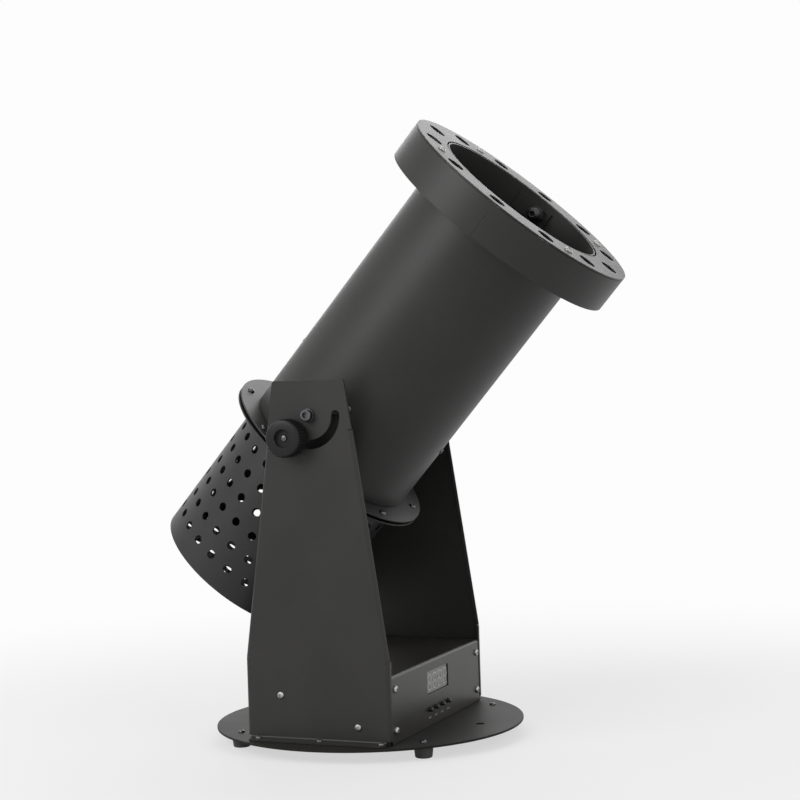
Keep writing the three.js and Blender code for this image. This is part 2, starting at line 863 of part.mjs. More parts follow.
function lensRing() {
  const outer = muzzleRadius - ringPieceMargin;
  const inner = tubeRadius + ringPieceMargin;
  const base = ringPlate(outer, inner, lensPlateThickness).translate(0, 0, lensPlateUnder);
  const radius = lampHoleDiameter / 2 - seatGap;
  const lens = turned([
    [0, lensPlateUnder + seatGap],
    [radius, lensPlateUnder + seatGap],
    [radius, lensTop - lensChamfer],
    [radius - lensChamfer, lensTop],
    [0, lensTop],
  ], tinyFacets);
  const lenses = evenAngles(lampCount, lampFirstAngle).map((angle) => {
    const [x, y] = polar(lampRadius, angle);
    return lens.clone().translate(x, y, 0);
  });
  return join(base, together(lenses));
}

function ledBoard() {
  const outer = muzzleRadius - ringPieceMargin;
  const inner = tubeRadius + ringPieceMargin;
  return ringPlate(outer, inner, boardThickness).translate(0, 0, boardTop - boardThickness);
}

function muzzleScrew(angle) {
  const end = muzzleBottom - muzzleScrewEndShow;
  const seat = faceTop + seatGap;
  const head = turned([
    [0, seat],
    [muzzleScrewHeadDiameter / 2, seat],
    [muzzleScrewHeadDiameter / 2, seat + muzzleScrewHeadEdge],
    [muzzleScrewHeadTopDiameter / 2, seat + muzzleScrewHeadHeight],
    [0, seat + muzzleScrewHeadHeight],
  ], tinyFacets);
  const shank = rod(muzzleScrewDiameter / 2, seat + seatGap - end, tinyFacets).translate(0, 0, end);
  return join(head, shank).translate(...polar(lampRadius, angle), 0);
}

// Small plate and gland on the far wall of the bore
function glandPlate() {
  const outer = insideTube;
  const z = barrelAbovePivot - glandBelowRim;
  const half = glandPlateHeight / 2;
  const shell = ring(outer - glandPlateSheet, outer, z - half, z + half);
  const low = glandPlateOffset - glandPlateLength / 2;
  const high = low + glandPlateLength;
  const zone = block([0, low, z - glandPlateHeight], [tubeRadius, high, z + glandPlateHeight]);
  const hole = alongX(rod(glandThreadDiameter / 2 + seatGap, tubeRadius, tinyFacets), 0).translate(0, 0, z);
  return aroundAxis(cut(common(shell, zone), hole), glandAngle);
}

function leadGland() {
  const hexCorner = glandHexWidth / Math.sqrt(3);
  const seat = Math.sqrt((insideTube - glandPlateSheet) ** 2 - hexCorner ** 2) - roundGap;
  const dome = glandDomeDiameter / 2;
  const hex = hexBar(glandHexWidth, glandHexHeight);
  const nose = turned([
    [0, glandHexHeight - seatGap],
    [dome, glandHexHeight - seatGap],
    [dome, glandHexHeight + glandDomeHeight * glandShoulderShare],
    [dome * glandShoulderShare, glandHexHeight + glandDomeHeight],
    [0, glandHexHeight + glandDomeHeight],
  ], tinyFacets);
  const thread = rod(glandThreadDiameter / 2, glandThreadLength + seatGap, tinyFacets);
  thread.translate(0, 0, -glandThreadLength);
  const bore = rod(glandBoreDiameter / 2, glandDomeHeight, tinyFacets).translate(0, 0, glandHexHeight);
  const gland = cut(join(hex, nose, thread), bore);
  gland.rotateY(-quarterTurn).translate(seat, 0, barrelAbovePivot - glandBelowRim);
  return aroundAxis(gland, glandAngle);
}

// Fan
function motorMount() {
  const hubBore = motorBossDiameter / 2 + roundGap;
  const hub = ring(hubBore, mountHubDiameter / 2, mountPlateUnder, mountPlateTop, mediumFacets);
  const half = mountArmWidth / 2;
  const armStart = mountHubDiameter / 2 - mountArmWidth / 2;
  const tabInner = insideTube - mountSheet;
  const arm = block([armStart, -half, mountPlateUnder], [tabInner + seatGap, half, mountPlateTop]);
  const tabShell = ring(tabInner, insideTube, mountPlateTop - mountTabHeight, mountPlateTop);
  const tabZone = block([0, -half, mountPlateTop - mountTabHeight], [tubeRadius, half, mountPlateTop]);
  const screw = alongX(rod(mountScrewDiameter / 2 + seatGap, mountArmWidth, holeFacets), tabInner - half);
  screw.translate(0, 0, mountAbovePivot);
  const leg = cut(join(arm, common(tabShell, tabZone)), screw);
  return join(hub, ...evenAngles(mountArms, mountFirstAngle).map((angle) => aroundAxis(leg, angle)));
}

function fanMotor() {
  const radius = motorDiameter / 2;
  const bottom = motorTop - motorLength;
  const bore = shaftDiameter / 2 + seatGap;
  const bossTop = mountPlateTop + seatGap;
  return turned([
    [0, bottom],
    [radius - motorEdge, bottom],
    [radius, bottom + motorEdge],
    [radius, motorTop - motorEdge],
    [radius - motorEdge, motorTop],
    [motorBossDiameter / 2, motorTop],
    [motorBossDiameter / 2, bossTop],
    [bore, bossTop],
    [bore, bossTop - shaftInMotor - seatGap],
    [0, bossTop - shaftInMotor - seatGap],
  ], mediumFacets);
}

function motorShaft() {
  const bottom = mountPlateTop + seatGap - shaftInMotor;
  const top = rotorTop + seatGap + nutHeight + shaftEndShow;
  return disc(shaftDiameter / 2, bottom, top, smallFacets);
}

function fanRotor() {
  const radius = rotorHubDiameter / 2;
  const bore = shaftDiameter / 2 + seatGap;
  const inner = radius - rotorHubWall;
  const roof = rotorTop - rotorHubWall;
  const sleeve = rotorSleeveDiameter / 2;
  const hub = turned([
    [bore, rotorBottom],
    [sleeve, rotorBottom],
    [sleeve, roof],
    [inner, roof],
    [inner, rotorBottom],
    [radius, rotorBottom],
    [radius, rotorTop - rotorHubWall],
    [radius - rotorHubWall, rotorTop],
    [bore, rotorTop],
  ], mediumFacets);
  const blade = rotorBlade(inner + rotorHubWall / 2, boreRadius - rotorTipGap);
  return join(hub, ...evenAngles(rotorBlades).map((angle) => aroundAxis(blade, angle)));
}

// One twisted blade from the hub wall to the tip: a thin curved section drawn along +X
function rotorBlade(from, to) {
  const half = bladeThickness / 2;
  const lower = [[-1, -half], [0, -bladeCamber - half], [1, -half]];
  const upper = [[1, half], [0, half - bladeCamber], [-1, half]];
  const section = new THREE.Shape([...lower, ...upper].map(([x, y]) => new THREE.Vector2(x / 2, y)));
  const blade = new THREE.ExtrudeGeometry(section, { depth: 1, steps: 3, bevelEnabled: false });
  const place = blade.attributes.position;
  for (let i = 0; i < place.count; i += 1) {
    const share = place.getZ(i);
    const chord = THREE.MathUtils.lerp(bladeRootChord, bladeTipChord, share);
    const pitch = radians(THREE.MathUtils.lerp(bladeRootPitch, bladeTipPitch, share));
    const along = place.getX(i) * chord;
    const across = place.getY(i);
    const around = along * Math.cos(pitch) - across * Math.sin(pitch);
    const up = along * Math.sin(pitch) + across * Math.cos(pitch);
    const radius = from + (to - from) * share;
    const reach = Math.sqrt(Math.max(radius * radius - around * around, 0));
    place.setXYZ(i, reach, around, rotorBottom + rotorHubHeight / 2 + up);
  }
  return blade;
}

function rotorNut() {
  const nut = hexBar(nutWidth, nutHeight).translate(0, 0, rotorTop + seatGap);
  const end = rotorTop + nutHeight + cutterOverrun;
  return cut(nut, disc(shaftDiameter / 2 + seatGap, rotorTop - cutterOverrun, end, smallFacets));
}

// Confetti screen: a rim with flat bars on edge across it
function confettiScreen() {
  const outer = insideTube;
  const inner = outer - screenRimWall;
  const bottom = screenAbovePivot;
  const rim = ring(inner, outer, bottom, bottom + screenRimHeight);
  const pitch = (2 * inner) / screenBars;
  const half = screenBar / 2;
  const bars = Array.from({ length: screenBars - 1 }, (_, i) => {
    const y = pitch * (i + 1) - inner;
    const reach = Math.sqrt((outer - screenRimWall / 2) ** 2 - (Math.abs(y) + half) ** 2);
    return block([-reach, y - half, bottom], [reach, y + half, bottom + screenBarHeight]);
  });
  return join(rim, together(bars));
}

// Electronics box
function frontCover() {
  const height = boxHeight - seatGap - boxBendRadius;
  const middle = seatHeight + height / 2;
  const moved = (z) => z - middle;
  const holes = [
    displayWindow(moved(displayMiddle)),
    ...buttonPlaces().map((x) => (
      circle(x, moved(buttonMiddle), buttonDiameter / 2 + buttonClearance, tinyFacets)
    )),
    ...panelScrewHoles(moved),
  ];
  const outline = roundedRectangle(boxWidth, height, panelCornerRadius, cornerFacets);
  const front = extruded(outline, boxSheet, holes);
  const wall = onFront(front, panelInside).translate(0, 0, middle);
  const run = boxDepth - boxBendRadius - boxSheet - seatGap;
  const lid = bentStrip(boxBendRadius, boxSheet, run, boxWidth);
  lid.rotateX(quarterTurn).rotateZ(-quarterTurn);
  lid.translate(boxWidth / 2, panelFace + boxBendRadius, boxTop - boxBendRadius);
  return join(wall, lid, ...boardPosts());
}

function displayWindow(z) {
  const x = displayWidth / 2;
  const half = displayHeight / 2;
  return [[-x, z - half], [x, z - half], [x, z + half], [-x, z + half]];
}

function panelScrewHoles(moved) {
  const hole = panelScrewDiameter / 2 + screwClearance;
  return panelScrewPlaces().map(([x, z]) => circle(x, moved(z), hole, screwHoleFacets));
}

function buttonPlaces() {
  const middle = (buttonCount - 1) / 2;
  return Array.from({ length: buttonCount }, (_, i) => (i - middle) * buttonPitch);
}

function panelScrewPlaces() {
  const x = boxWidth / 2 - panelScrewInset;
  const low = baseTop + boxHeight * panelScrewLowShare;
  const high = baseTop + boxHeight * panelScrewHighShare;
  return [[-x, low], [x, low], [-x, high], [x, high]];
}

function boardPosts() {
  const x = boardWidth / 2 - postInset;
  const z = boardHeight / 2 - postInset;
  const length = boardFront - seatGap - panelInside;
  const middle = baseTop + boxHeight / 2;
  return [[-x, -z], [x, -z], [-x, z], [x, z]].map(([px, pz]) => {
    const post = rod(postDiameter / 2, length + seatGap, tinyFacets);
    return post.rotateX(-quarterTurn).translate(px, panelInside - seatGap, middle + pz);
  });
}

function displayModule() {
  const half = displayHeight / 2 + boxSheet;
  const x = displayWidth / 2 + boxSheet;
  const front = panelInside + seatGap;
  const body = block([-x, front, displayMiddle - half], [x, displayBack, displayMiddle + half]);
  const faceX = displayWidth / 2 - seatGap;
  const faceHalf = displayHeight / 2 - seatGap;
  const face = block(
    [-faceX, panelFace + displayRecess, displayMiddle - faceHalf],
    [faceX, displayBack, displayMiddle + faceHalf],
  );
  return join(body, face);
}

function controlBoard() {
  const middle = baseTop + boxHeight / 2;
  const half = boardHeight / 2;
  const board = block(
    [-boardWidth / 2, boardFront, middle - half],
    [boardWidth / 2, boardFront + boardThickness, middle + half],
  );
  const side = switchWidth / 2;
  const z = buttonMiddle;
  const switches = buttonPlaces().map((x) => (
    block([x - side, boardFront - switchHeight, z - side], [x + side, boardFront + seatGap, z + side])
  ));
  return join(board, ...switches);
}

function menuButton(x) {
  const back = boardFront - switchHeight - buttonTravelRoom;
  const collar = back - panelInside - seatGap;
  const length = back - panelFace + buttonShow;
  const cap = buttonDiameter / 2;
  const flange = buttonFlangeDiameter / 2;
  const button = turned([
    [0, 0],
    [cap, 0],
    [cap, collar - buttonFlangeHeight],
    [flange, collar - buttonFlangeHeight],
    [flange, collar],
    [cap, collar],
    [cap, length - buttonEdge],
    [cap - buttonEdge, length],
    [0, length],
  ], tinyFacets);
  return button.rotateX(quarterTurn).translate(x, back, buttonMiddle);
}

// Inner sheet bracket, drawn for the right side, with a flange at each end for the panel screws
function innerPlate() {
  const outside = plateInside - seatGap;
  const high = boxTop - boxBendRadius;
  const depth = rearFace - boxSheet - seatGap;
  const straight = depth - innerBendRadius;
  const web = block([outside - boxSheet, -straight, seatHeight], [outside, straight, high]);
  const flanges = [-1, 1].map((side) => {
    const strip = bentStrip(innerBendRadius, boxSheet, innerFlange - innerBendRadius, high - seatHeight);
    strip.scale(1, side, 1);
    return strip.translate(outside - innerBendRadius, side * straight, seatHeight);
  });
  const holes = panelScrewPlaces().filter(([x]) => x > 0).map(([x, z]) => (
    rod(panelScrewDiameter / 2 + screwClearance, boxDepth + 2 * cutterOverrun, screwHoleFacets)
      .rotateX(quarterTurn).translate(x, boxDepth / 2 + cutterOverrun, z)
  ));
  return cut(join(web, ...flanges), ...holes);
}

function rearPanel() {
  const height = boxTop - seatHeight;
  const middle = seatHeight + height / 2;
  const moved = (z) => z - middle;
  const centre = moved(connectionHeight());
  const clear = 2 * seatGap;
  const inlet = roundedRectangle(inletCupWidth + clear, inletCupHeight + clear, inletWall)
    .map(([x, z]) => [x - inletPlace, z + centre]);
  const sockets = [signalInPlace, signalOutPlace].map((x) => (
    circle(-x, centre, socketDiameter / 2 + 2 * seatGap, smallFacets)
  ));
  const sheet = extruded(
    roundedRectangle(boxWidth, height, panelCornerRadius, cornerFacets),
    boxSheet,
    [inlet, ...sockets, ...panelScrewHoles(moved)],
  );
  return onRear(sheet, rearFace - boxSheet).translate(0, 0, middle);
}

function connectionHeight() {
  return baseTop + boxHeight / 2;
}

// Mains inlet: a plate on the rear panel and a cup behind it with three blades
function powerInlet() {
  const plate = extruded(roundedRectangle(inletWidth, inletHeight, inletWall), inletPlate);
  const cup = extruded(roundedRectangle(inletCupWidth, inletCupHeight, inletWall), inletCupDepth);
  cup.translate(0, 0, -inletCupDepth + seatGap);
  const hollowWidth = inletCupWidth - 2 * inletWall;
  const hollowHeight = inletCupHeight - 2 * inletWall;
  const hollow = extruded(
    roundedRectangle(hollowWidth, hollowHeight, inletCornerRadius),
    inletCupDepth + inletPlate,
  );
  hollow.translate(0, 0, inletWall - inletCupDepth + seatGap);
  const floor = inletWall - inletCupDepth;
  const blade = (x, y) => block(
    [x - inletPinThickness / 2, y - inletPinWidth / 2, floor],
    [x + inletPinThickness / 2, y + inletPinWidth / 2, floor + inletPinLength],
  );
  const low = -inletPinWidth / 2;
  const body = join(
    cut(join(plate, cup), hollow),
    blade(-inletPinSpread, low),
    blade(inletPinSpread, low),
    blade(0, inletPinWidth / 2),
  );
  return onRear(body, rearFace + seatGap).translate(inletPlace, 0, connectionHeight());
}

function signalSocket(female, x) {
  const plate = extruded(roundedRectangle(socketPlateWidth, socketPlateHeight, inletWall), socketPlate);
  const cup = rod(socketDiameter / 2, socketDepth).translate(0, 0, -socketDepth + seatGap);
  const floor = socketFloor - socketDepth;
  const length = socketDepth - socketFloor;
  const hollow = rod(socketBore / 2, socketDepth + socketPlate).translate(0, 0, floor + seatGap);
  const shell = cut(join(plate, cup), hollow);
  const insert = rod(socketInsertDiameter / 2, length).translate(0, 0, floor);
  const contacts = (radius, start) => evenAngles(socketPins, socketFirstPin).map((angle) => (
    rod(radius, length, holeFacets).translate(...polar(socketPinCircle / 2, angle), start)
  ));
  const holes = contacts(socketPinDiameter / 2 + seatGap, floor + 2 * seatGap);
  const pins = contacts(socketPinDiameter / 2, floor);
  const body = female ? cut(join(shell, insert), ...holes) : join(shell, ...pins);
  return onRear(body, rearFace + seatGap).translate(x, 0, connectionHeight());
}

// Power supply: a closed case with cooling grooves in its top
function powerSupply() {
  const x = -moduleSpread / 2;
  const half = supplyWidth / 2;
  const deep = supplyDepth / 2;
  const top = seatHeight + supplyHeight;
  const shape = roundedRectangle(supplyWidth, supplyDepth, supplyWall);
  const body = extruded(shape, supplyHeight).translate(x, 0, seatHeight);
  const pitch = supplyWidth / (supplySlots + 1);
  const slots = Array.from({ length: supplySlots }, (_, i) => {
    const at = x - half + pitch * (i + 1);
    return block(
      [at - supplySlotWidth / 2, -deep + supplyWall * 2, top - supplySlotDepth],
      [at + supplySlotWidth / 2, deep - supplyWall * 2, top + cutterOverrun],
    );
  });
  return cut(body, together(slots));
}

// Fan driver: a finned heat sink
function fanDriver() {
  const pitch = driverWidth / driverFins;
  const fin = pitch * driverFinShare;
  const half = driverWidth / 2;
  const points = [[-half, 0], [half, 0], [half, driverFloor]];
  for (let i = driverFins - 1; i >= 0; i -= 1) {
    const left = pitch * (i + (1 - driverFinShare) / 2) - half;
    points.push([left + fin, driverFloor], [left + fin, driverHeight]);
    points.push([left, driverHeight], [left, driverFloor]);
  }
  points.push([-half, driverFloor]);
  const body = extruded(points, driverDepth).rotateX(quarterTurn);
  return body.translate(moduleSpread / 2, driverDepth / 2, seatHeight);
}

// Assembly
const blower = new THREE.Group();
const stand = new THREE.Group();
blower.add(stand);

piece(stand, 'base_disc', baseDisc(), finishes.blackSteel);
evenAngles(footCount, footFirstAngle + 180).forEach((angle, i) => {
  const foot = piece(stand, `foot_${i + 1}`, rubberFoot(), finishes.darkRubber);
  foot.position.set(...polar(footRadius, angle), 0);
});

const rightPlate = sidePlate();
piece(stand, 'right_side_plate', rightPlate, finishes.blackSteel);
piece(stand, 'left_side_plate', mirrored(rightPlate), finishes.blackSteel);
const rightInner = innerPlate();
piece(stand, 'right_inner_plate', rightInner, finishes.innerSteel);
piece(stand, 'left_inner_plate', mirrored(rightInner), finishes.innerSteel);
const bush = pivotBush().translate(0, 0, pivotZ);
piece(stand, 'right_pivot_bush', bush, finishes.darkPlastic);
piece(stand, 'left_pivot_bush', mirrored(bush), finishes.darkPlastic);

piece(stand, 'front_cover', frontCover(), finishes.blackSteel);
piece(stand, 'rear_panel', rearPanel(), finishes.blackSteel);
piece(stand, 'display_module', displayModule(), finishes.displayFace);
piece(stand, 'control_board', controlBoard(), finishes.boardGreen);
buttonPlaces().forEach((x, i) => {
  piece(stand, `menu_button_${i + 1}`, menuButton(x), finishes.darkPlastic);
});
piece(stand, 'power_inlet', powerInlet(), finishes.darkPlastic);
piece(stand, 'signal_in_socket', signalSocket(false, signalInPlace), finishes.screwSteel);
piece(stand, 'signal_out_socket', signalSocket(true, signalOutPlace), finishes.screwSteel);
piece(stand, 'power_supply', powerSupply(), finishes.galvanised);
piece(stand, 'fan_driver', fanDriver(), finishes.galvanised);

// The barrel hangs on its pivot, and its own Z runs from the intake to the muzzle
const barrel = new THREE.Group();
barrel.position.set(0, 0, pivotZ);
barrel.rotation.x = radians(restTilt);
blower.add(barrel);

piece(barrel, 'barrel_tube', barrelTube(), finishes.blackSteel);
piece(barrel, 'upper_flange', collarPlate(collarTop), finishes.blackSteel);
piece(barrel, 'flange_gasket', flangeGasket(), finishes.darkRubber);
piece(barrel, 'lower_flange', collarPlate(lowerFlangeTop), finishes.blackSteel);
piece(barrel, 'intake_guard', intakeGuard(), finishes.blackSteel);
piece(barrel, 'intake_grille', intakeGrille(), finishes.blackSteel);
piece(barrel, 'muzzle_housing', muzzleHousing(), finishes.blackSteel);
piece(barrel, 'muzzle_face', muzzleFace(), finishes.blackSteel);
piece(barrel, 'lens_ring', lensRing(), finishes.clearLens);
piece(barrel, 'led_board', ledBoard(), finishes.whiteBoard);
evenAngles(muzzleScrews, muzzleScrewAngle).forEach((angle, i) => {
  piece(barrel, `muzzle_screw_${i + 1}`, muzzleScrew(angle), finishes.screwSteel);
});
piece(barrel, 'gland_plate', glandPlate(), finishes.innerSteel);
piece(barrel, 'lead_gland', leadGland(), finishes.darkPlastic);
piece(barrel, 'motor_mount', motorMount(), finishes.galvanised);
piece(barrel, 'fan_motor', fanMotor(), finishes.screwSteel);
piece(barrel, 'motor_shaft', motorShaft(), finishes.brightSteel);
piece(barrel, 'fan_rotor', fanRotor(), finishes.darkPlastic);
piece(barrel, 'rotor_nut', rotorNut(), finishes.brightSteel);
piece(barrel, 'confetti_screen', confettiScreen(), finishes.galvanised);

const sidePieces = {
  bracket: [barrelBracket(), finishes.innerSteel],
  pivot_bolt: [pivotBolt(), finishes.screwSteel],
  lock_stud: [lockStud(), finishes.brightSteel],
  knob_washer: [knobWasher(), finishes.screwSteel],
  lock_knob: [lockKnob(), finishes.knobPlastic],
};
for (const [name, [geometry, finish]] of Object.entries(sidePieces)) {
  piece(barrel, `right_${name}`, geometry, finish);
  piece(barrel, `left_${name}`, mirrored(geometry), finish);
}

// The origin moves under the middle of the outer box
blower.updateMatrixWorld(true);
const box = new THREE.Box3().setFromObject(blower, true);
blower.position.y = -(box.min.y + box.max.y) / 2;
blower.updateMatrixWorld(true);

export default blower;
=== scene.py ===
import json
import math
from contextlib import contextmanager

import bmesh
import bpy
from bpy.props import FloatProperty, FloatVectorProperty, IntProperty, PointerProperty
from mathutils import Matrix, Vector


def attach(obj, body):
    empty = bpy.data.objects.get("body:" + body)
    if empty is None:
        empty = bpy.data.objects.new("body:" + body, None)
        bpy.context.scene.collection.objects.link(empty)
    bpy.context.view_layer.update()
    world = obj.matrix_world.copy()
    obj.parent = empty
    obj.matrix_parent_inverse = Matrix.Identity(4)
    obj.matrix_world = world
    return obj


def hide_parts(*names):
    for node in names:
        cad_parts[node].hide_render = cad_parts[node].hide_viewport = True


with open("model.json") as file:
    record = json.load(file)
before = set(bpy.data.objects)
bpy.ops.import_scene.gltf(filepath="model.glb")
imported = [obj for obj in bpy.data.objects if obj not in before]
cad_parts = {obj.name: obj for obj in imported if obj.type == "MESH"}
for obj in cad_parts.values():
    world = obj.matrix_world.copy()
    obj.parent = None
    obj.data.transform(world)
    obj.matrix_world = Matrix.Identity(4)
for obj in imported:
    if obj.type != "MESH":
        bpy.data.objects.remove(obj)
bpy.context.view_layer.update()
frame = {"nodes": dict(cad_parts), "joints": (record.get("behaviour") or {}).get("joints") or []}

bl_info = {
    "name": "Confetti blower",
    "version": (1, 0, 0),
    "blender": (4, 5, 0),
    "location": "View3D > Sidebar > Blower",
    "description": "Models a stage confetti blower on its stand, piece by piece",
    "category": "Object",
}

MM = 0.001
JOINTS = {joint["name"]: joint for joint in frame["joints"]}
PIVOT = Vector(JOINTS["barrel_tilt"]["pos_m"])
SPIN = Vector(JOINTS["rotor_spin"]["axis"]).normalized()
STAND = Matrix.Translation((0, PIVOT.y, 0))
BARREL = Matrix.Translation(PIVOT) @ Vector((0, 0, 1)).rotation_difference(SPIN).to_matrix().to_4x4()


def mm(*lengths):
    """Millimetres as metres: one number, or a point."""
    return lengths[0] * MM if len(lengths) == 1 else tuple(length * MM for length in lengths)


def at(*place):
    return Matrix.Translation(mm(*place))


def turn(degrees, axis="Z"):
    return Matrix.Rotation(math.radians(degrees), 4, axis)


def around(degrees, radius=0, height=0):
    """A place on a circle round the Z axis, turned to face outwards."""
    return turn(degrees) @ at(radius, 0, height)


RIGHT, LEFT = turn(90, "Y"), turn(-90, "Y")
FRONT, REAR = turn(90, "X"), turn(-90, "X")
DOWN = turn(180, "X")

# Places in millimetres: up from the floor, out from the middle of the stand, or along the barrel

TILT_HEIGHT = PIVOT.z / MM
LOCK_RADIUS = 25.2
DISC_BOTTOM = 10.5
FOOT_CIRCLE = 122.7
PLATE_FACE = 111.5
BOX_FACE = 67
BOX_BOTTOM = 12.8
CONNECTOR_HEIGHT = 41.5
SIGNAL_SOCKETS = {"signal_in": 22, "signal_out": 64}
INLET_X = -62
BUTTON_HEIGHT = 27.4
BUTTONS = [14.7 * (i - 1.5) for i in range(4)]
MUZZLE_TOP = 243
FIRST_LAMP = 8.3
LAMP_ANGLES = [FIRST_LAMP + 30 * i for i in range(12)]


# Sizes and colours that a user would change

def length(name, description, default, low=0.0, high=1000.0):
    return FloatProperty(
        name=name, description=description, default=mm(default), min=mm(low), max=mm(high), unit="LENGTH"
    )


def colour(name, description, default):
    return FloatVectorProperty(
        name=name, description=description, default=default, min=0, max=1, size=3, subtype="COLOR"
    )


class BlowerStandSizes(bpy.types.PropertyGroup):
    base_diameter: length("Base diameter", "Width of the round base plate", 278, 100, 600)
    sheet: length("Sheet", "Thickness of the base and side plates", 2, 0.5, 6)
    edge: length("Edge rounding", "Rounding of cut sheet edges", 0.35, 0.05, 1)
    screw_head: length("Screw head", "Diameter of the pan screw heads", 6.2, 3, 12)
    knob_diameter: length("Knob diameter", "Width of the clamp knobs", 33, 15, 60)
    knob_ridges: IntProperty(
        name="Knob ridges", description="Ridges round each clamp knob", default=38, min=12, max=120
    )


class BlowerBarrelSizes(bpy.types.PropertyGroup):
    tube_diameter: length("Tube diameter", "Outer width of the barrel tube", 160, 60, 300)
    wall: length("Wall", "Thickness of the barrel's sheet", 1.5, 0.5, 5)
    ring_diameter: length("Ring diameter", "Outer width of the muzzle ring", 226, 100, 400)
    lamp_hole: length("Lamp hole", "Width of each lamp opening", 16, 5, 40)
    intake_hole: length("Intake hole", "Width of each hole in the intake tube", 8, 3, 12)
    facets: IntProperty(
        name="Facets", description="Facets round the large tubes", default=160, min=48, max=400
    )


class BlowerColours(bpy.types.PropertyGroup):
    coat: colour("Black coat", "Powder coat of the stand and the barrel", (0.0225, 0.0215, 0.0205))
    panel_coat: colour("Panel coat", "Satin coat of the front cover", (0.023, 0.021, 0.019))
    guard_coat: colour("Guard coat", "Coat of the perforated intake tube", (0.022, 0.022, 0.023))
    inner_coat: colour("Inner coat", "Coat of the intake's end plate, brackets and inner plates",
                       (0.012, 0.0115, 0.011))
    zinc: colour("Zinc", "Plated screws, pins, screen and fan mount", (0.40, 0.40, 0.39))
    dark_steel: colour("Dark steel", "Blackened bolts, nuts and washers", (0.10, 0.10, 0.105))
    rubber: colour("Rubber", "Feet and gasket", (0.045, 0.045, 0.046))
    plastic: colour("Plastic", "Buttons, sockets, bushes and fan", (0.012, 0.012, 0.0125))
    knob: colour("Knob", "Clamp knobs", (0.014, 0.014, 0.0145))
    display: colour("Display", "Face of the display", (0.17, 0.17, 0.158))
    segments: colour("Segments", "Unlit segments of the digits", (0.50, 0.49, 0.46))
    floor: colour("Floor", "Stage floor", (0.80, 0.80, 0.80))


# Modelling by hand: each step is the operator that a modeller would use

def leave_editing():
    if bpy.context.object and bpy.context.object.mode != "OBJECT":
        bpy.ops.object.mode_set(mode="OBJECT")


def only(*objects):
    """Selects these objects and nothing else, the first of them active."""
    leave_editing()
    bpy.ops.object.select_all(action="DESELECT")
    for obj in objects:
        obj.select_set(True)
    bpy.context.view_layer.objects.active = objects[0]


def start(name, add, **settings):
    """A new primitive, added with nothing else selected and with its place in its mesh."""
    leave_editing()
    bpy.ops.object.select_all(action="DESELECT")
    add(**settings)
    obj = bpy.context.active_object
    obj.name = obj.data.name = name
    bpy.ops.object.transform_apply(location=True, rotation=True, scale=True)
    return obj


@contextmanager
def editing(obj, kind="FACE"):
    only(obj)
    bpy.ops.object.mode_set(mode="EDIT")
    bpy.ops.mesh.select_mode(type=kind)
    yield
    bpy.ops.object.mode_set(mode="OBJECT")


def middle(item):
    if isinstance(item, bmesh.types.BMVert):
        return item.co
    if isinstance(item, bmesh.types.BMEdge):
        return (item.verts[0].co + item.verts[1].co) / 2
    return item.calc_center_median()


def runs(edge, direction):
    """Whether an edge runs along a direction."""
    return abs((edge.verts[0].co - edge.verts[1].co).normalized().dot(Vector(direction))) > 0.99


def edited():
    return bmesh.from_edit_mesh(bpy.context.edit_object.data)


def mark(kind, test):
    """In edit mode, selects only the corners, edges or faces that pass the test."""
    bpy.ops.mesh.select_mode(type=kind)
    bpy.ops.mesh.select_all(action="DESELECT")
    mesh = edited()
    for item in {"VERT": mesh.verts, "EDGE": mesh.edges, "FACE": mesh.faces}[kind]:
        if test(item):
            item.select_set(True)
    bmesh.update_edit_mesh(bpy.context.edit_object.data)


def take_all():
    bpy.ops.mesh.select_all(action="SELECT")


def reshape(size, place=None):
    """In edit mode, stretches the whole mesh from the origin and then moves it, in millimetres."""
    take_all()
    bpy.ops.transform.resize(value=mm(*size), center_override=(0, 0, 0))
    if place:
        bpy.ops.transform.translate(value=mm(*place))


def extrude(*move):
    bpy.ops.mesh.extrude_region_move(TRANSFORM_OT_translate={"value": mm(*move)})


def spin(steps, degrees, center, axis):
    bpy.ops.mesh.spin(steps=steps, angle=math.radians(degrees), center=center, axis=axis)


def divide(point, normal, trim=False):
    """In edit mode, cuts the whole mesh along a plane, and drops what lies beyond it when trimming."""
    take_all()
    bpy.ops.mesh.bisect(plane_co=point, plane_no=normal, clear_outer=trim)


def merge(distance):
    """In edit mode, merges corners that are closer than this."""
    take_all()
    bpy.ops.mesh.remove_doubles(threshold=mm(distance))


def face_outside():
    """In edit mode, recalculates the normals."""
    take_all()
    bpy.ops.mesh.normals_make_consistent(inside=False)


def face_along(direction):
    """In edit mode, merges a bent sheet's seams and turns its largest face to look along a direction."""
    merge(0.01)
    face_outside()
    if max(edited().faces, key=lambda face: face.calc_area()).normal.dot(Vector(direction)) < 0:
        bpy.ops.mesh.flip_normals()


def turned(name, rings, facets=48, tube=False):
    """A piece of revolution round Z: a circle extruded and resized from ring to ring, given in millimetres.
    A tube's last ring is bridged back to its first one; any other piece is capped."""
    radius, height = rings[0]
    obj = start(
        name, bpy.ops.mesh.primitive_circle_add,
        vertices=facets, radius=mm(radius), fill_type="NOTHING", location=mm(0, 0, height),
    )
    with editing(obj, "EDGE"):
        take_all()
        for (r0, z0), (r1, z1) in zip(rings, rings[1:]):
            extrude(0, 0, z1 - z0)
            bpy.ops.transform.resize(value=(r1 / r0, r1 / r0, 1), center_override=mm(0, 0, z1))
        mark("EDGE", lambda edge: edge.is_boundary)
        if tube:
            bpy.ops.mesh.bridge_edge_loops()
        else:
            bpy.ops.mesh.fill_holes(sides=0)
        face_outside()
    return obj


def ring(name, inner, outer, low, high, facets):
    """A flat ring or a plain tube."""
    return turned(name, [(inner, low), (outer, low), (outer, high), (inner, high)], facets, tube=True)


def smooth_turned(name, rings, facets=48, tube=False):
    return soften(turned(name, rings, facets, tube), 0)


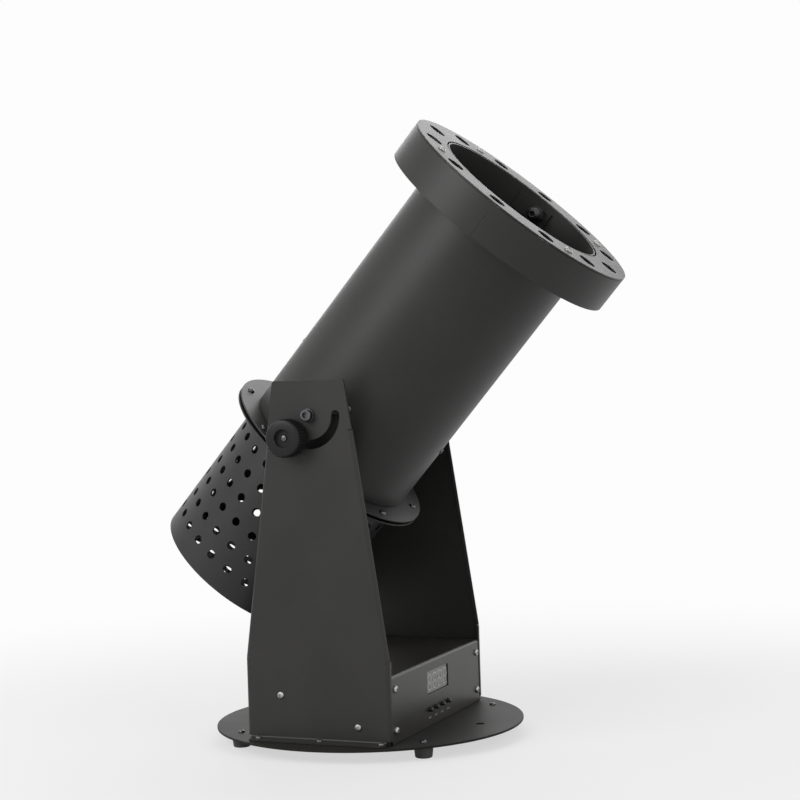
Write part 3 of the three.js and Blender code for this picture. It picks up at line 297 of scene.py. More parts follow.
def block(name, low, high):
    """A box from its lowest and highest corners in millimetres, as the start of a piece."""
    obj = start(name, bpy.ops.mesh.primitive_cube_add, size=1)
    with editing(obj):
        reshape([h - l for l, h in zip(low, high)], [(h + l) / 2 for l, h in zip(low, high)])
    return obj


def rounded_block(name, low, high, axis, radius, steps):
    """A box with its edges along one axis rounded."""
    obj = block(name, low, high)
    with editing(obj, "EDGE"):
        mark("EDGE", lambda edge: runs(edge, axis))
        bpy.ops.mesh.bevel(offset=mm(radius), segments=steps)
    return obj


def bar(name, radius, low, high, facets=32):
    """A round bar along Z in millimetres, as a cutter or the start of a piece."""
    return start(
        name, bpy.ops.mesh.primitive_cylinder_add,
        vertices=facets, radius=mm(radius), depth=mm(high - low), location=mm(0, 0, (low + high) / 2),
    )


def settle(obj, matrix):
    """Moves a piece to its place and writes the place into its mesh."""
    only(obj)
    obj.matrix_world = matrix
    bpy.ops.object.transform_apply(location=True, rotation=True, scale=True)
    return obj


def repeated(obj, places):
    """Copies of a finished piece, each with its own mesh, one at each place. The first one goes too."""
    made = []
    for place in places:
        twin = obj.copy()
        twin.data = obj.data.copy()
        bpy.context.scene.collection.objects.link(twin)
        made.append(settle(twin, place))
    only(obj)
    bpy.ops.object.delete()
    return made


def joined(name, objects):
    only(*objects)
    if len(objects) > 1:
        bpy.ops.object.join()
    obj = bpy.context.active_object
    obj.name = obj.data.name = name
    return obj


def cut(obj, *cutters):
    """Takes the cutters out of a piece and deletes them."""
    cutter = joined("cutter", cutters)
    change(obj, "BOOLEAN", operation="DIFFERENCE", solver="EXACT", object=cutter)
    only(cutter)
    bpy.ops.object.delete()
    return obj


def change(obj, kind, **settings):
    """Adds a modifier to a piece and applies it."""
    only(obj)
    modifier = obj.modifiers.new("Change", kind)
    for name, value in settings.items():
        setattr(modifier, name, value)
    bpy.ops.object.modifier_apply(modifier="Change")
    return obj


def thicken(obj, thickness, offset=-1):
    """Gives a sheet its thickness, on the side away from its normals, or on both sides for an offset of 0."""
    return change(obj, "SOLIDIFY", thickness=mm(thickness), offset=offset, use_even_offset=offset != 0)


def soften(obj, width, steps=2, angle=35):
    """Rounds the sharp edges and shades the rest smooth, with the large faces kept flat."""
    sharp = math.radians(angle)
    if width:
        change(obj, "BEVEL", width=mm(width), segments=steps, limit_method="ANGLE", angle_limit=sharp)
    only(obj)
    bpy.ops.object.shade_smooth_by_angle(angle=sharp)
    if width:
        change(obj, "WEIGHTED_NORMAL", keep_sharp=True)
    return obj


def copied(name, node, width):
    """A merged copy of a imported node's mesh, its edges rounded unless the width is 0."""
    obj = bpy.data.objects.new(name, frame["nodes"][node].data.copy())
    bpy.context.scene.collection.objects.link(obj)
    with editing(obj, "VERT"):
        bpy.ops.mesh.customdata_custom_splitnormals_clear()
        merge(0.002)
        bpy.ops.mesh.dissolve_limited(angle_limit=math.radians(0.4))
    return soften(obj, width)


def give(obj, body, finish, slot, *nodes):
    """Hands a piece its finish, the body it rides on and the nodes it stands for."""
    obj.data.materials.clear()
    obj.data.materials.append(bpy.data.materials[finish])
    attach(obj, body)
    if nodes:
        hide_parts(*nodes)
    return obj


def fit(obj, body, finish, slot, *nodes):
    """Moves a piece that is modelled round the origin to the place of its body, and hands it over."""
    return give(settle(obj, STAND if body == "stand" else BARREL), body, finish, slot, *nodes)


def drill(radius, low, high, facets, place):
    """A round cutter at a place."""
    return settle(bar("hole", radius, low, high, facets), place)


def scatter(name, obj, places, body, finish, slot, *nodes):
    """Copies of a piece at these places, joined as one piece."""
    return give(joined(name, repeated(obj, places)), body, finish, slot, *nodes)


# Materials: node maths written as sums

class Term:
    """A node's output that can be added, subtracted and multiplied."""

    def __init__(self, paint, socket):
        self.paint = paint
        self.socket = socket

    def __add__(self, other):
        return self.paint.maths("ADD", self, other)

    def __radd__(self, other):
        return self.paint.maths("ADD", other, self)

    def __sub__(self, other):
        return self.paint.maths("SUBTRACT", self, other)

    def __rsub__(self, other):
        return self.paint.maths("SUBTRACT", other, self)

    def __mul__(self, other):
        return self.paint.maths("MULTIPLY", self, other)

    def __rmul__(self, other):
        return self.paint.maths("MULTIPLY", other, self)


class Paint:
    """A material being mixed, with its main shader at hand."""

    def __init__(self, name):
        self.material = bpy.data.materials.new(name)
        self.material.use_nodes = True
        self.tree = self.material.node_tree
        self.shader = self.tree.nodes["Principled BSDF"]
        self.place = self.out(self.node("ShaderNodeTexCoord"), "Object")

    def node(self, kind, settings=None, sockets=None):
        """A node of any type: its settings first, then the values or links of its sockets."""
        node = self.tree.nodes.new(kind)
        for name, value in (settings or {}).items():
            setattr(node, name, value)
        for name, value in (sockets or {}).items():
            self.feed(node.inputs[name], value)
        return node

    def feed(self, socket, value):
        if isinstance(value, Term):
            self.tree.links.new(value.socket, socket)
        elif socket.type == "RGBA":
            socket.default_value = (*value, 1)
        else:
            socket.default_value = value

    def out(self, node, name=0):
        return Term(self, node.outputs[name])

    def maths(self, operation, a, b):
        return self.out(self.node("ShaderNodeMath", {"operation": operation}, {0: a, 1: b}))

    def between(self, value, low, high):
        """A mask that rises smoothly from 0 to 1 as the value goes from low to high."""
        return self.out(self.node(
            "ShaderNodeMapRange", {"interpolation_type": "SMOOTHSTEP"},
            {"Value": value, "From Min": low, "From Max": high},
        ))

    def blend(self, mask, a, b):
        return self.out(self.node("ShaderNodeMix", {"data_type": "RGBA"}, {0: mask, 6: a, 7: b}), 2)

    def stretched(self, scale):
        return self.out(self.node("ShaderNodeMapping", None, {"Vector": self.place, "Scale": scale}))

    def noise(self, scale, detail=2.0, place=None):
        """Noise with its lumps this many to the metre."""
        sockets = {"Vector": place or self.place, "Scale": scale, "Detail": detail}
        return self.out(self.node("ShaderNodeTexNoise", None, sockets), "Fac")

    def bump(self, height, distance, strength):
        sockets = {"Height": height, "Distance": mm(distance), "Strength": strength}
        return self.out(self.node("ShaderNodeBump", None, sockets))

    def finish(self, **sockets):
        for name, value in sockets.items():
            self.feed(self.shader.inputs[name.replace("_", " ")], value)
        return self.material


def tint(colour, factor):
    return tuple(min(1, channel * factor) for channel in colour)


def powder_coat(name, colour, roughness, dust=0.0, gloss=0.34):
    """Baked powder coat: fine orange peel, faint clouding, and a few pale specks of lint."""
    paint = Paint(name)
    peel = paint.noise(900, 3)
    cloud = paint.noise(14, 4)
    specks = paint.between(paint.noise(420, 1), 0.72, 0.78)
    tone = paint.blend(paint.between(cloud, 0.3, 0.7), tint(colour, 0.88), tint(colour, 1.16))
    tone = paint.blend(specks * 0.2, tone, tint(colour, 3.5))
    if dust:
        film = paint.between(paint.noise(30, 5), 0.42, 0.75)
        tone = paint.blend(film * dust, tone, tint(colour, 3.2))
    paint.finish(
        Specular_IOR_Level=gloss,
        Base_Color=tone,
        Roughness=roughness + (cloud - 0.5) * 0.16 + (peel - 0.5) * 0.1,
        Metallic=0.0,
        Normal=paint.bump(peel, 0.05, 0.55),
    )


def plated_metal(name, colour, roughness, brushed=0.0):
    """Plated or blackened metal with fine scratches and handling marks."""
    paint = Paint(name)
    scratch = paint.noise(800, 4, paint.stretched((1, 1, 0.08)))
    smudge = paint.noise(160, 3)
    paint.finish(
        Base_Color=paint.blend(paint.between(smudge, 0.35, 0.7), tint(colour, 0.8), tint(colour, 1.1)),
        Metallic=1.0,
        Roughness=roughness + (smudge - 0.5) * 0.2 + (scratch - 0.5) * 0.1,
        Normal=paint.bump(scratch, 0.02 + brushed, 0.5),
    )


def moulded(name, colour, roughness, grain=700, depth=0.03, gloss=0.5):
    """Moulded plastic or rubber with its mould texture and worn, slightly paler high spots."""
    paint = Paint(name)
    texture = paint.noise(grain, 3)
    wear = paint.between(paint.noise(90, 4), 0.5, 0.8)
    paint.finish(
        Specular_IOR_Level=gloss,
        Base_Color=paint.blend(wear * 0.5, colour, tint(colour, 1.7)),
        Roughness=roughness + (texture - 0.5) * 0.14 - wear * 0.05,
        Normal=paint.bump(texture, depth, 0.6),
    )


def milky(name, colour, roughness, scale, dim, pale, span):
    """A smooth face, faintly mottled, such as the display's grey film and its unlit light pipes."""
    paint = Paint(name)
    mottle = paint.noise(scale, 2)
    paint.finish(
        Base_Color=paint.blend(paint.between(mottle, 0.3, span), tint(colour, dim), tint(colour, pale)),
        Roughness=roughness + (mottle - 0.5) * 0.1,
    )


def clear_glass(name):
    """Clear moulded lens with faint flow marks."""
    paint = Paint(name)
    flow = paint.noise(220, 2)
    paint.finish(
        Transmission_Weight=1,
        IOR=1.49,
        Base_Color=paint.blend(flow, (0.80, 0.82, 0.84), (0.92, 0.93, 0.94)),
        Roughness=0.06 + (flow - 0.5) * 0.06,
        Normal=paint.bump(flow, 0.05, 0.4),
    )


def green_board(name):
    """Green solder mask over short copper tracks."""
    paint = Paint(name)
    tracks = paint.node("ShaderNodeTexBrick", None, {
        "Vector": paint.place, "Scale": 160, "Mortar Size": 0.03,
        "Color1": (0.012, 0.07, 0.025), "Color2": (0.016, 0.09, 0.03), "Mortar": (0.03, 0.16, 0.06),
    })
    grain = paint.noise(500, 3)
    paint.finish(Base_Color=paint.out(tracks, "Color"), Roughness=0.4 + (grain - 0.5) * 0.2)


def pale_board(name):
    """White solder mask with small pads."""
    paint = Paint(name)
    pads = paint.node("ShaderNodeTexVoronoi", {"feature": "F1"}, {"Vector": paint.place, "Scale": 180})
    mask = paint.between(paint.out(pads, "Distance"), 0.12, 0.16)
    paint.finish(
        Base_Color=paint.blend(mask, (0.42, 0.40, 0.36), (0.72, 0.72, 0.70)),
        Roughness=0.45 + (paint.noise(200, 2) - 0.5) * 0.2,
    )


class BLOWER_OT_finishes(bpy.types.Operator):
    """Mixes the coats, metals, plastics and lens materials"""
    bl_idname = "blower.finishes"
    bl_label = "Finishes"

    def execute(self, context):
        tones = context.scene.blower_colours
        powder_coat("black_coat", tones.coat, 0.46)
        powder_coat("dusty_coat", tones.coat, 0.52, dust=0.08, gloss=0.05)
        powder_coat("panel_coat", tones.panel_coat, 0.36)
        powder_coat("guard_coat", tones.guard_coat, 0.40)
        powder_coat("inner_coat", tones.inner_coat, 0.55)
        plated_metal("zinc_plate", tones.zinc, 0.42)
        plated_metal("dark_steel", tones.dark_steel, 0.34)
        plated_metal("cast_grey", tint(tones.dark_steel, 1.4), 0.48, brushed=0.04)
        moulded("foot_moulding", tones.rubber, 0.72, grain=500, depth=0.06)
        moulded("gasket_moulding", tint(tones.rubber, 0.4), 0.8, grain=500, depth=0.05)
        moulded("black_plastic", tones.plastic, 0.42)
        moulded("knob_moulding", tones.knob, 0.38, grain=900, depth=0.02, gloss=0.2)
        moulded("fan_plastic", tint(tones.plastic, 1.6), 0.5)
        moulded("lamp_cup", (0.35, 0.35, 0.36), 0.25)
        moulded("lamp_chip", (0.75, 0.66, 0.30), 0.4)
        moulded("panel_print", (0.30, 0.30, 0.29), 0.6)
        milky("display_grey", tones.display, 0.28, scale=260, dim=0.92, pale=1.06, span=0.7)
        milky("digit_segments", tones.segments, 0.35, scale=700, dim=0.9, pale=1, span=0.75)
        clear_glass("lamp_glass")
        green_board("circuit_board")
        pale_board("lamp_board")
        return {"FINISHED"}


# Screws, modelled once for each kind

def pan_screw(name, diameter, height):
    """A pan head that sits on Z zero, with a cross recess."""
    r = diameter / 2
    head = turned(name, [
        (r * 0.5, -0.4), (r * 0.5, 0), (r, 0), (r, height * 0.3), (r * 0.93, height * 0.62),
        (r * 0.74, height * 0.87), (r * 0.42, height),
    ], 32)
    arm, slot, floor, above = diameter * 0.27, diameter * 0.075, height * 0.45, height * 1.5
    for x, y in ((arm, slot), (slot, arm)):
        cut(head, block("recess", (-x, -y, floor), (x, y, above)))
    return soften(head, 0)


def hex_nut(name, width, height, bore):
    """A hexagon nut on Z zero with chamfered corners."""
    nut = bar(name, width / math.sqrt(3), 0, height, 6)
    flat, corner, clear = width * 0.5, width * 0.62, width * 0.9
    cone = turned("cone", [
        (width, -1), (clear, -1), (flat, 0), (corner, height * 0.2), (corner, height * 0.8), (flat, height),
        (clear, height + 1), (width, height + 1),
    ], 48, tube=True)
    cut(nut, cone)
    cut(nut, bar("bore", bore / 2, -1, height + 1, 24))
    return soften(nut, 0)


def panel_screws(name, face, direction, head):
    """The four screws in the corners of the front or the rear panel."""
    places = [STAND @ at(x, face, z) @ direction for x in (-98.3, 98.3) for z in (23.7, 58.9)]
    scatter(f"{name}s", pan_screw(name, head, 2.2), places, "stand", "zinc_plate", "bare_metal")


# Stand

class BLOWER_OT_base(bpy.types.Operator):
    """Round base plate with its fixing holes, and the screws that hold the feet"""
    bl_idname = "blower.base"
    bl_label = "Base plate"

    def execute(self, context):
        sizes = context.scene.blower_stand
        top = DISC_BOTTOM + sizes.sheet / MM
        plate = bar("base_plate", sizes.base_diameter / MM / 2, DISC_BOTTOM, top, 224)
        fixing_hole = 106
        cut(plate, *[drill(4, 0, 20, 40, at(0, side * fixing_hole, 0)) for side in (-1, 1)])
        fit(soften(plate, sizes.edge / MM), "stand", "dusty_coat", "black_steel", "base_disc")
        places = [STAND @ around(45 + 90 * i, FOOT_CIRCLE, top) for i in range(4)]
        scatter("foot_screws", pan_screw("foot_screw", 5.6, 1.9), places, "stand", "dark_steel", "dark_metal")
        return {"FINISHED"}


class BLOWER_OT_feet(bpy.types.Operator):
    """Tapered rubber feet, each with a recess for its screw"""
    bl_idname = "blower.feet"
    bl_label = "Feet"

    def execute(self, context):
        foot = smooth_turned("foot", [
            (3.2, 3.6), (4.4, 3.6), (4.7, 0.4), (5.2, 0), (6.5, 0), (7.2, 0.3), (7.5, 1.1), (8.35, 8.6),
            (8.65, 9.4), (8.5, 10.0), (8.1, 10.3), (3.2, 10.3),
        ], tube=True)
        bolt = smooth_turned("foot_bolt", [
            (1.2, 2.4), (1.4, 3.0), (3.0, 3.0), (3.4, 3.4), (3.4, 4.2), (1.8, 4.2), (1.8, 10.4),
        ], 24)
        places = [STAND @ around(225 + 90 * i, FOOT_CIRCLE) for i in range(4)]
        for i, piece in enumerate(repeated(foot, places), 1):
            piece.name = f"rubber_foot_{i}"
            give(piece, "stand", "foot_moulding", "foot_rubber", f"foot_{i}")
        scatter("foot_bolts", bolt, places, "stand", "zinc_plate", "bare_metal")
        return {"FINISHED"}


def lock_slot(width):
    """The cutter of the arc slot, drawn on the right side plate: a strip spun round the pivot."""
    strip = start("slot", bpy.ops.mesh.primitive_plane_add, size=1)
    with editing(strip, "EDGE"):
        reshape((20, width, 1), (110, -LOCK_RADIUS, TILT_HEIGHT))
        spin(40, -150, mm(0, 0, TILT_HEIGHT), (1, 0, 0))
        merge(0.01)
        face_outside()
    return strip


class BLOWER_OT_side_plates(bpy.types.Operator):
    """Bent side plates with their arc slots, stiffening lips, foot flanges and screws"""
    bl_idname = "blower.side_plates"
    bl_label = "Side plates"

    def execute(self, context):
        sizes = context.scene.blower_stand
        plate = thicken(self.sheet(), sizes.sheet / MM)
        bush_hole, slot = 5.3, 8
        cut(plate, drill(bush_hole, -20, 20, 48, at(110, 0, TILT_HEIGHT) @ RIGHT))
        cut(plate, lock_slot(slot))
        for end in (180, 330):
            y, z = LOCK_RADIUS * math.cos(math.radians(end)), LOCK_RADIUS * math.sin(math.radians(end))
            cut(plate, drill(slot / 2, -20, 20, 48, at(110, y, TILT_HEIGHT + z) @ RIGHT))
        mirror = Matrix.Diagonal((-1, 1, 1, 1))
        for piece, side in zip(repeated(plate, [STAND, STAND @ mirror]), ("right", "left")):
            with editing(piece):
                face_outside()
            soften(piece, sizes.edge / MM)
            piece.name = f"{side}_plate"
            give(piece, "stand", "black_coat", "black_steel", f"{side}_side_plate")
        flange_middle, flange_top = PLATE_FACE + 4.5, DISC_BOTTOM + 4.3
        rows = [(side, y) for side in (-1, 1) for y in (-60.5, -3.2, 54.8)]
        places = [STAND @ at(side * flange_middle, y, flange_top) for side, y in rows]
        head = pan_screw("flange_screw", 5.2, 1.9)
        scatter("flange_screws", head, places, "stand", "cast_grey", "dark_metal")
        places = [
            STAND @ at(side * PLATE_FACE, y, z) @ facing
            for side, facing in ((-1, LEFT), (1, RIGHT)) for y, z in ((34.2, 52.1), (-37.9, 27.5))
        ]
        head = pan_screw("side_screw", sizes.screw_head / MM, 2.2)
        scatter("side_screws", head, places, "stand", "zinc_plate", "bare_metal")
        return {"FINISHED"}

    def sheet(self):
        """The outer face of the right plate: a plane trimmed to its outline, with its lips and flange spun."""
        low, bend, kink, lip_top, top = 16.3, 83.1, 83.3, 280, 322.5
        wide, narrow, lip, notch = 67.5, 33.6, 3.5, 0.8
        fold, flange, flange_bend, flange_length = wide - lip, wide - lip - 0.5, 1.5, 7
        near = mm(0.1)
        plate = start("plate", bpy.ops.mesh.primitive_plane_add, size=1, rotation=(0, math.pi / 2, 0))
        with editing(plate):
            reshape((1, 2 * wide, top - low), (PLATE_FACE, 0, (top + low) / 2))
            for side in (-1, 1):
                slope = Vector((0, side * (top - kink), wide - narrow)).normalized()
                rise = Vector((0, side * (narrow - wide), top - kink)).normalized()
                corner = Vector(mm(PLATE_FACE, side * wide, kink))
                inner = corner - slope * mm(lip)
                divide(corner, slope, trim=True)
                divide(inner, slope)
                for height in (lip_top, lip_top - notch, kink):
                    divide(mm(PLATE_FACE, 0, height), (0, 0, 1))
                mark("FACE", lambda f: (middle(f) - inner).dot(slope) > 0
                     and mm(kink) < middle(f).z < mm(lip_top))
                bpy.ops.mesh.delete(type="FACE")
                mark("EDGE", lambda e: abs((middle(e) - inner).dot(slope)) < mm(0.01) and runs(e, rise)
                     and mm(kink) < middle(e).z < mm(lip_top - notch))
                spin(6, -90 * side, inner - Vector(mm(lip, 0, 0)), rise)
            for height in (bend, kink):
                divide(mm(PLATE_FACE, 0, height), (0, 0, 1))
            for y in (-fold, -flange, flange, fold):
                divide(mm(PLATE_FACE, y, 0), (0, 1, 0))
            mark("FACE", lambda f: abs(middle(f).y) > mm(fold) and middle(f).z < mm(kink))
            bpy.ops.mesh.delete(type="FACE")
            mark("VERT", lambda v: v.co.z > mm(top) - near and len(v.link_edges) == 2)
            bpy.ops.mesh.bevel(offset=mm(2.5), segments=5, affect="VERTICES")
            for side in (-1, 1):
                mark("EDGE", lambda e: e.is_boundary and abs(middle(e).y - side * mm(fold)) < near
                     and middle(e).z < mm(bend) and abs(e.verts[0].co.y - e.verts[1].co.y) < near)
                spin(6, -90 * side, mm(PLATE_FACE - lip, side * fold, 0), (0, 0, 1))
                extrude(-2, 0, 0)
            mark("EDGE", lambda e: e.is_boundary and middle(e).z < mm(low) + near and runs(e, (0, 1, 0))
                 and abs(middle(e).y) < mm(flange) and abs(middle(e).x - mm(PLATE_FACE)) < near)
            spin(5, 90, mm(PLATE_FACE + flange_bend, 0, low), (0, 1, 0))
            extrude(flange_length, 0, 0)
            end = mm(PLATE_FACE + flange_bend + flange_length)
            mark("VERT", lambda v: v.co.x > end - near and abs(v.co.y) > mm(flange) - near)
            bpy.ops.mesh.bevel(offset=mm(4), segments=4, affect="VERTICES")
            face_along((1, 0, 0))
        return plate


class BLOWER_OT_pivots(bpy.types.Operator):
    """Pivot bushes and bolts, lock studs, washers and the knurled clamp knobs"""
    bl_idname = "blower.pivots"
    bl_label = "Pivots and knobs"

    def execute(self, context):
        bush = smooth_turned("bush", [
            (3.3, 109.9), (4.9, 109.9), (4.9, 111.8), (5.5, 111.8), (5.7, 112.0), (5.7, 113.0), (5.4, 113.2),
            (3.3, 113.2),
        ], tube=True)
        bolt = turned("bolt", [
            (2.6, 101.4), (3.0, 101.9), (3.0, 113.6), (4.7, 113.6), (5.0, 113.9), (5.0, 117.6), (4.5, 118.2),
            (3.6, 118.2),
        ])
        key = 5
        soften(cut(bolt, bar("key", key / math.sqrt(3), 115.4, 122, 6)), 0.1)
        stud = smooth_turned("stud", [
            (2.6, 101.4), (3.0, 101.9), (3.0, 113.5), (3.0, 125.7), (2.5, 126.6), (1.4, 127.0),
        ], 40)
        washer = smooth_turned("washer", [
            (3.4, 111.8), (8.8, 111.8), (9.0, 112.0), (9.0, 112.8), (8.8, 113.0), (3.4, 113.0),
        ], 56, tube=True)
        knob = self.knob(context.scene.blower_stand)
        hub = STAND @ at(0, 0, TILT_HEIGHT)
        lock = BARREL @ at(0, 0, -LOCK_RADIUS)
        for shape, name, place, body, finish, slot, node in (
            (bush, "{}_bush", hub, "stand", "black_plastic", "dark_plastic", "{}_pivot_bush"),
            (bolt, "{}_bolt", BARREL, "barrel", "dark_steel", "dark_metal", "{}_pivot_bolt"),
            (stud, "{}_lock_stud_shape", lock, "barrel", "dark_steel", "dark_metal", "{}_lock_stud"),
            (washer, "{}_knob_washer_shape", lock, "barrel", "dark_steel", "dark_metal", "{}_knob_washer"),
            (knob, "{}_lock_knob_shape", lock, "{}_knob", "knob_moulding", "knob_plastic", "{}_lock_knob"),
        ):
            for piece, side in zip(repeated(shape, [place @ RIGHT, place @ LEFT]), ("right", "left")):
                piece.name = name.format(side)
                give(piece, body.format(side), finish, slot, node.format(side))
        return {"FINISHED"}

    def knob(self, sizes):
        """Turned from ring to ring, with every second corner of the grip drawn in for the ridges."""
        r = sizes.knob_diameter / MM / 2
        face, ridge = 130.0, 1.3
        knob = turned("knob", [
            (3.3, face - 4.2), (6.9, face - 4.2), (7.3, face - 3.9), (7.5, face - 0.6), (8.0, face),
            (r - 2.2, face), (r - 1.5, face - 0.3), (r - 1.1, face - 0.9), (r, face - 1.6), (r, face - 14.4),
            (r - 1.1, face - 15.4), (10.2, face - 15.4), (10.0, face - 15.6), (9.8, face - 16.7),
            (3.3, face - 16.7),
        ], 2 * sizes.knob_ridges, tube=True)
        step = math.pi / sizes.knob_ridges

        def bearing(vertex):
            return math.atan2(vertex.co.y, vertex.co.x)

        def on_grip(vertex):
            return vertex.co.to_2d().length > mm(r - 0.01)

        with editing(knob, "VERT"):
            offset = min((bearing(vertex) for vertex in edited().verts if on_grip(vertex)), key=abs)
            mark("VERT", lambda vertex: on_grip(vertex) and round((bearing(vertex) - offset) / step) % 2 == 1)
            bpy.ops.transform.resize(value=(1 - ridge / r, 1 - ridge / r, 1), center_override=(0, 0, 0))
        return soften(knob, 0, angle=28)


# Control panel

class BLOWER_OT_control_panel(bpy.types.Operator):
    """Bent front cover with the display, the four buttons, their marks and the panel screws"""
    bl_idname = "blower.control_panel"
    bl_label = "Control panel"

    def execute(self, context):
        cover = thicken(self.cover(), 1.5)
        window = 25.15
        cut(cover, block("window", (-window, -80, 40.8), (window, -60, 60.8)))
        cut(cover, *[drill(2.3, -10, 10, 32, at(x, -66, BUTTON_HEIGHT) @ FRONT) for x in BUTTONS])
        corners = [(x, z) for x in (-50, 50) for z in (24.5, 58.5)]
        posts = [settle(bar("post", 3, 0, 8.5, 20), at(x, -65.7, z) @ REAR) for x, z in corners]
        cover = joined("front_panel", [soften(cover, 0.25), *posts])
        fit(cover, "stand", "panel_coat", "black_steel", "front_cover")
        self.display()
        self.buttons()
        panel_screws("panel_screw", -BOX_FACE, FRONT, context.scene.blower_stand.screw_head / MM)
        return {"FINISHED"}

    def cover(self):
        """A plane for the front, its top edge spun into the bend and drawn back as the lid."""
        high, bend, lid_end = 68, 2.5, 65.2
        cover = start("cover", bpy.ops.mesh.primitive_plane_add, size=1, rotation=(math.pi / 2, 0, 0))
        with editing(cover):
            reshape((211, 1, high - BOX_BOTTOM), (0, -BOX_FACE, (high + BOX_BOTTOM) / 2))
            mark("EDGE", lambda e: middle(e).z > mm(high - 0.1))
            spin(6, 90, mm(0, bend - BOX_FACE, high), (1, 0, 0))
            extrude(0, lid_end + BOX_FACE - bend, 0)
            face_along((0, 0, 1))
        return cover

    def display(self):
        """A dark frame behind the window and a grey face with four digits."""
        bezel = block("display_frame", (-26.65, -65.2, 39.3), (26.65, -57.2, 62.3))
        with editing(bezel):
            mark("FACE", lambda f: f.normal.y < -0.9)
            bpy.ops.mesh.inset(thickness=mm(1.7))
            extrude(0, 0.6, 0)
        fit(soften(bezel, 0.15), "stand", "black_plastic", "dark_plastic")
        face = block("display_glass", (-24.85, -66.0, 41.1), (24.85, -64.5, 60.5))
        fit(soften(face, 0.3), "stand", "display_grey", "display_face", "display_module")
        stroke, thick, half_length, digit_pitch = 0.75, 0.3, 2.4, 12.2
        segment = settle(bar("segment", stroke, 0, thick, 6), turn(30))
        with editing(segment, "VERT"):
            for side in (1, -1):
                mark("VERT", lambda v: v.co.x * side > mm(0.1))
                bpy.ops.transform.translate(value=mm(half_length * side, 0, 0))
        upright = STAND @ at(0, -65.9, 50.8) @ FRONT
        slant = Matrix(((1, 0.12, 0, 0), (0, 1, 0, 0), (0, 0, 1, 0), (0, 0, 0, 1)))
        strokes, points = [], []
        for digit in range(4):
            x = digit_pitch * (digit - 1.5)
            strokes += [upright @ slant @ at(x, y, 0) for y in (6.6, 0, -6.6)]
            for y in (3.3, -3.3):
                strokes += [upright @ slant @ at(x + side, y, 0) @ turn(90) for side in (-3.6, 3.6)]
            points.append(upright @ at(x + 5.2, -6.9, 0))
        dots = bar("point", stroke, 0, thick, 16)
        digits = joined("display_digits", [*repeated(segment, strokes), *repeated(dots, points)])
        give(digits, "stand", "digit_segments", "display_face")

    def buttons(self):
        cap = smooth_turned("button", [
            (1.9, 0), (1.9, 1.6), (3.0, 1.6), (3.0, 3.1), (1.9, 3.1), (1.9, 7.2), (1.75, 7.7), (1.3, 8.05),
            (0.6, 8.2),
        ], 28)
        places = [STAND @ at(x, -62.4, BUTTON_HEIGHT) @ FRONT for x in BUTTONS]
        for i, piece in enumerate(repeated(cap, places), 1):
            piece.name = f"button_cap_{i}"
            give(piece, f"button_{i}", "black_plastic", "dark_plastic", f"menu_button_{i}")
        marks = [block("mark", (x - 2.9, -0.55, 0), (x + 2.9, 0.55, 0.04)) for x in BUTTONS]
        marks = joined("button_marks", marks)
        give(settle(marks, STAND @ at(0.8, -67.01, 20.2) @ FRONT), "stand", "panel_print", "display_face")


# Connections at the back

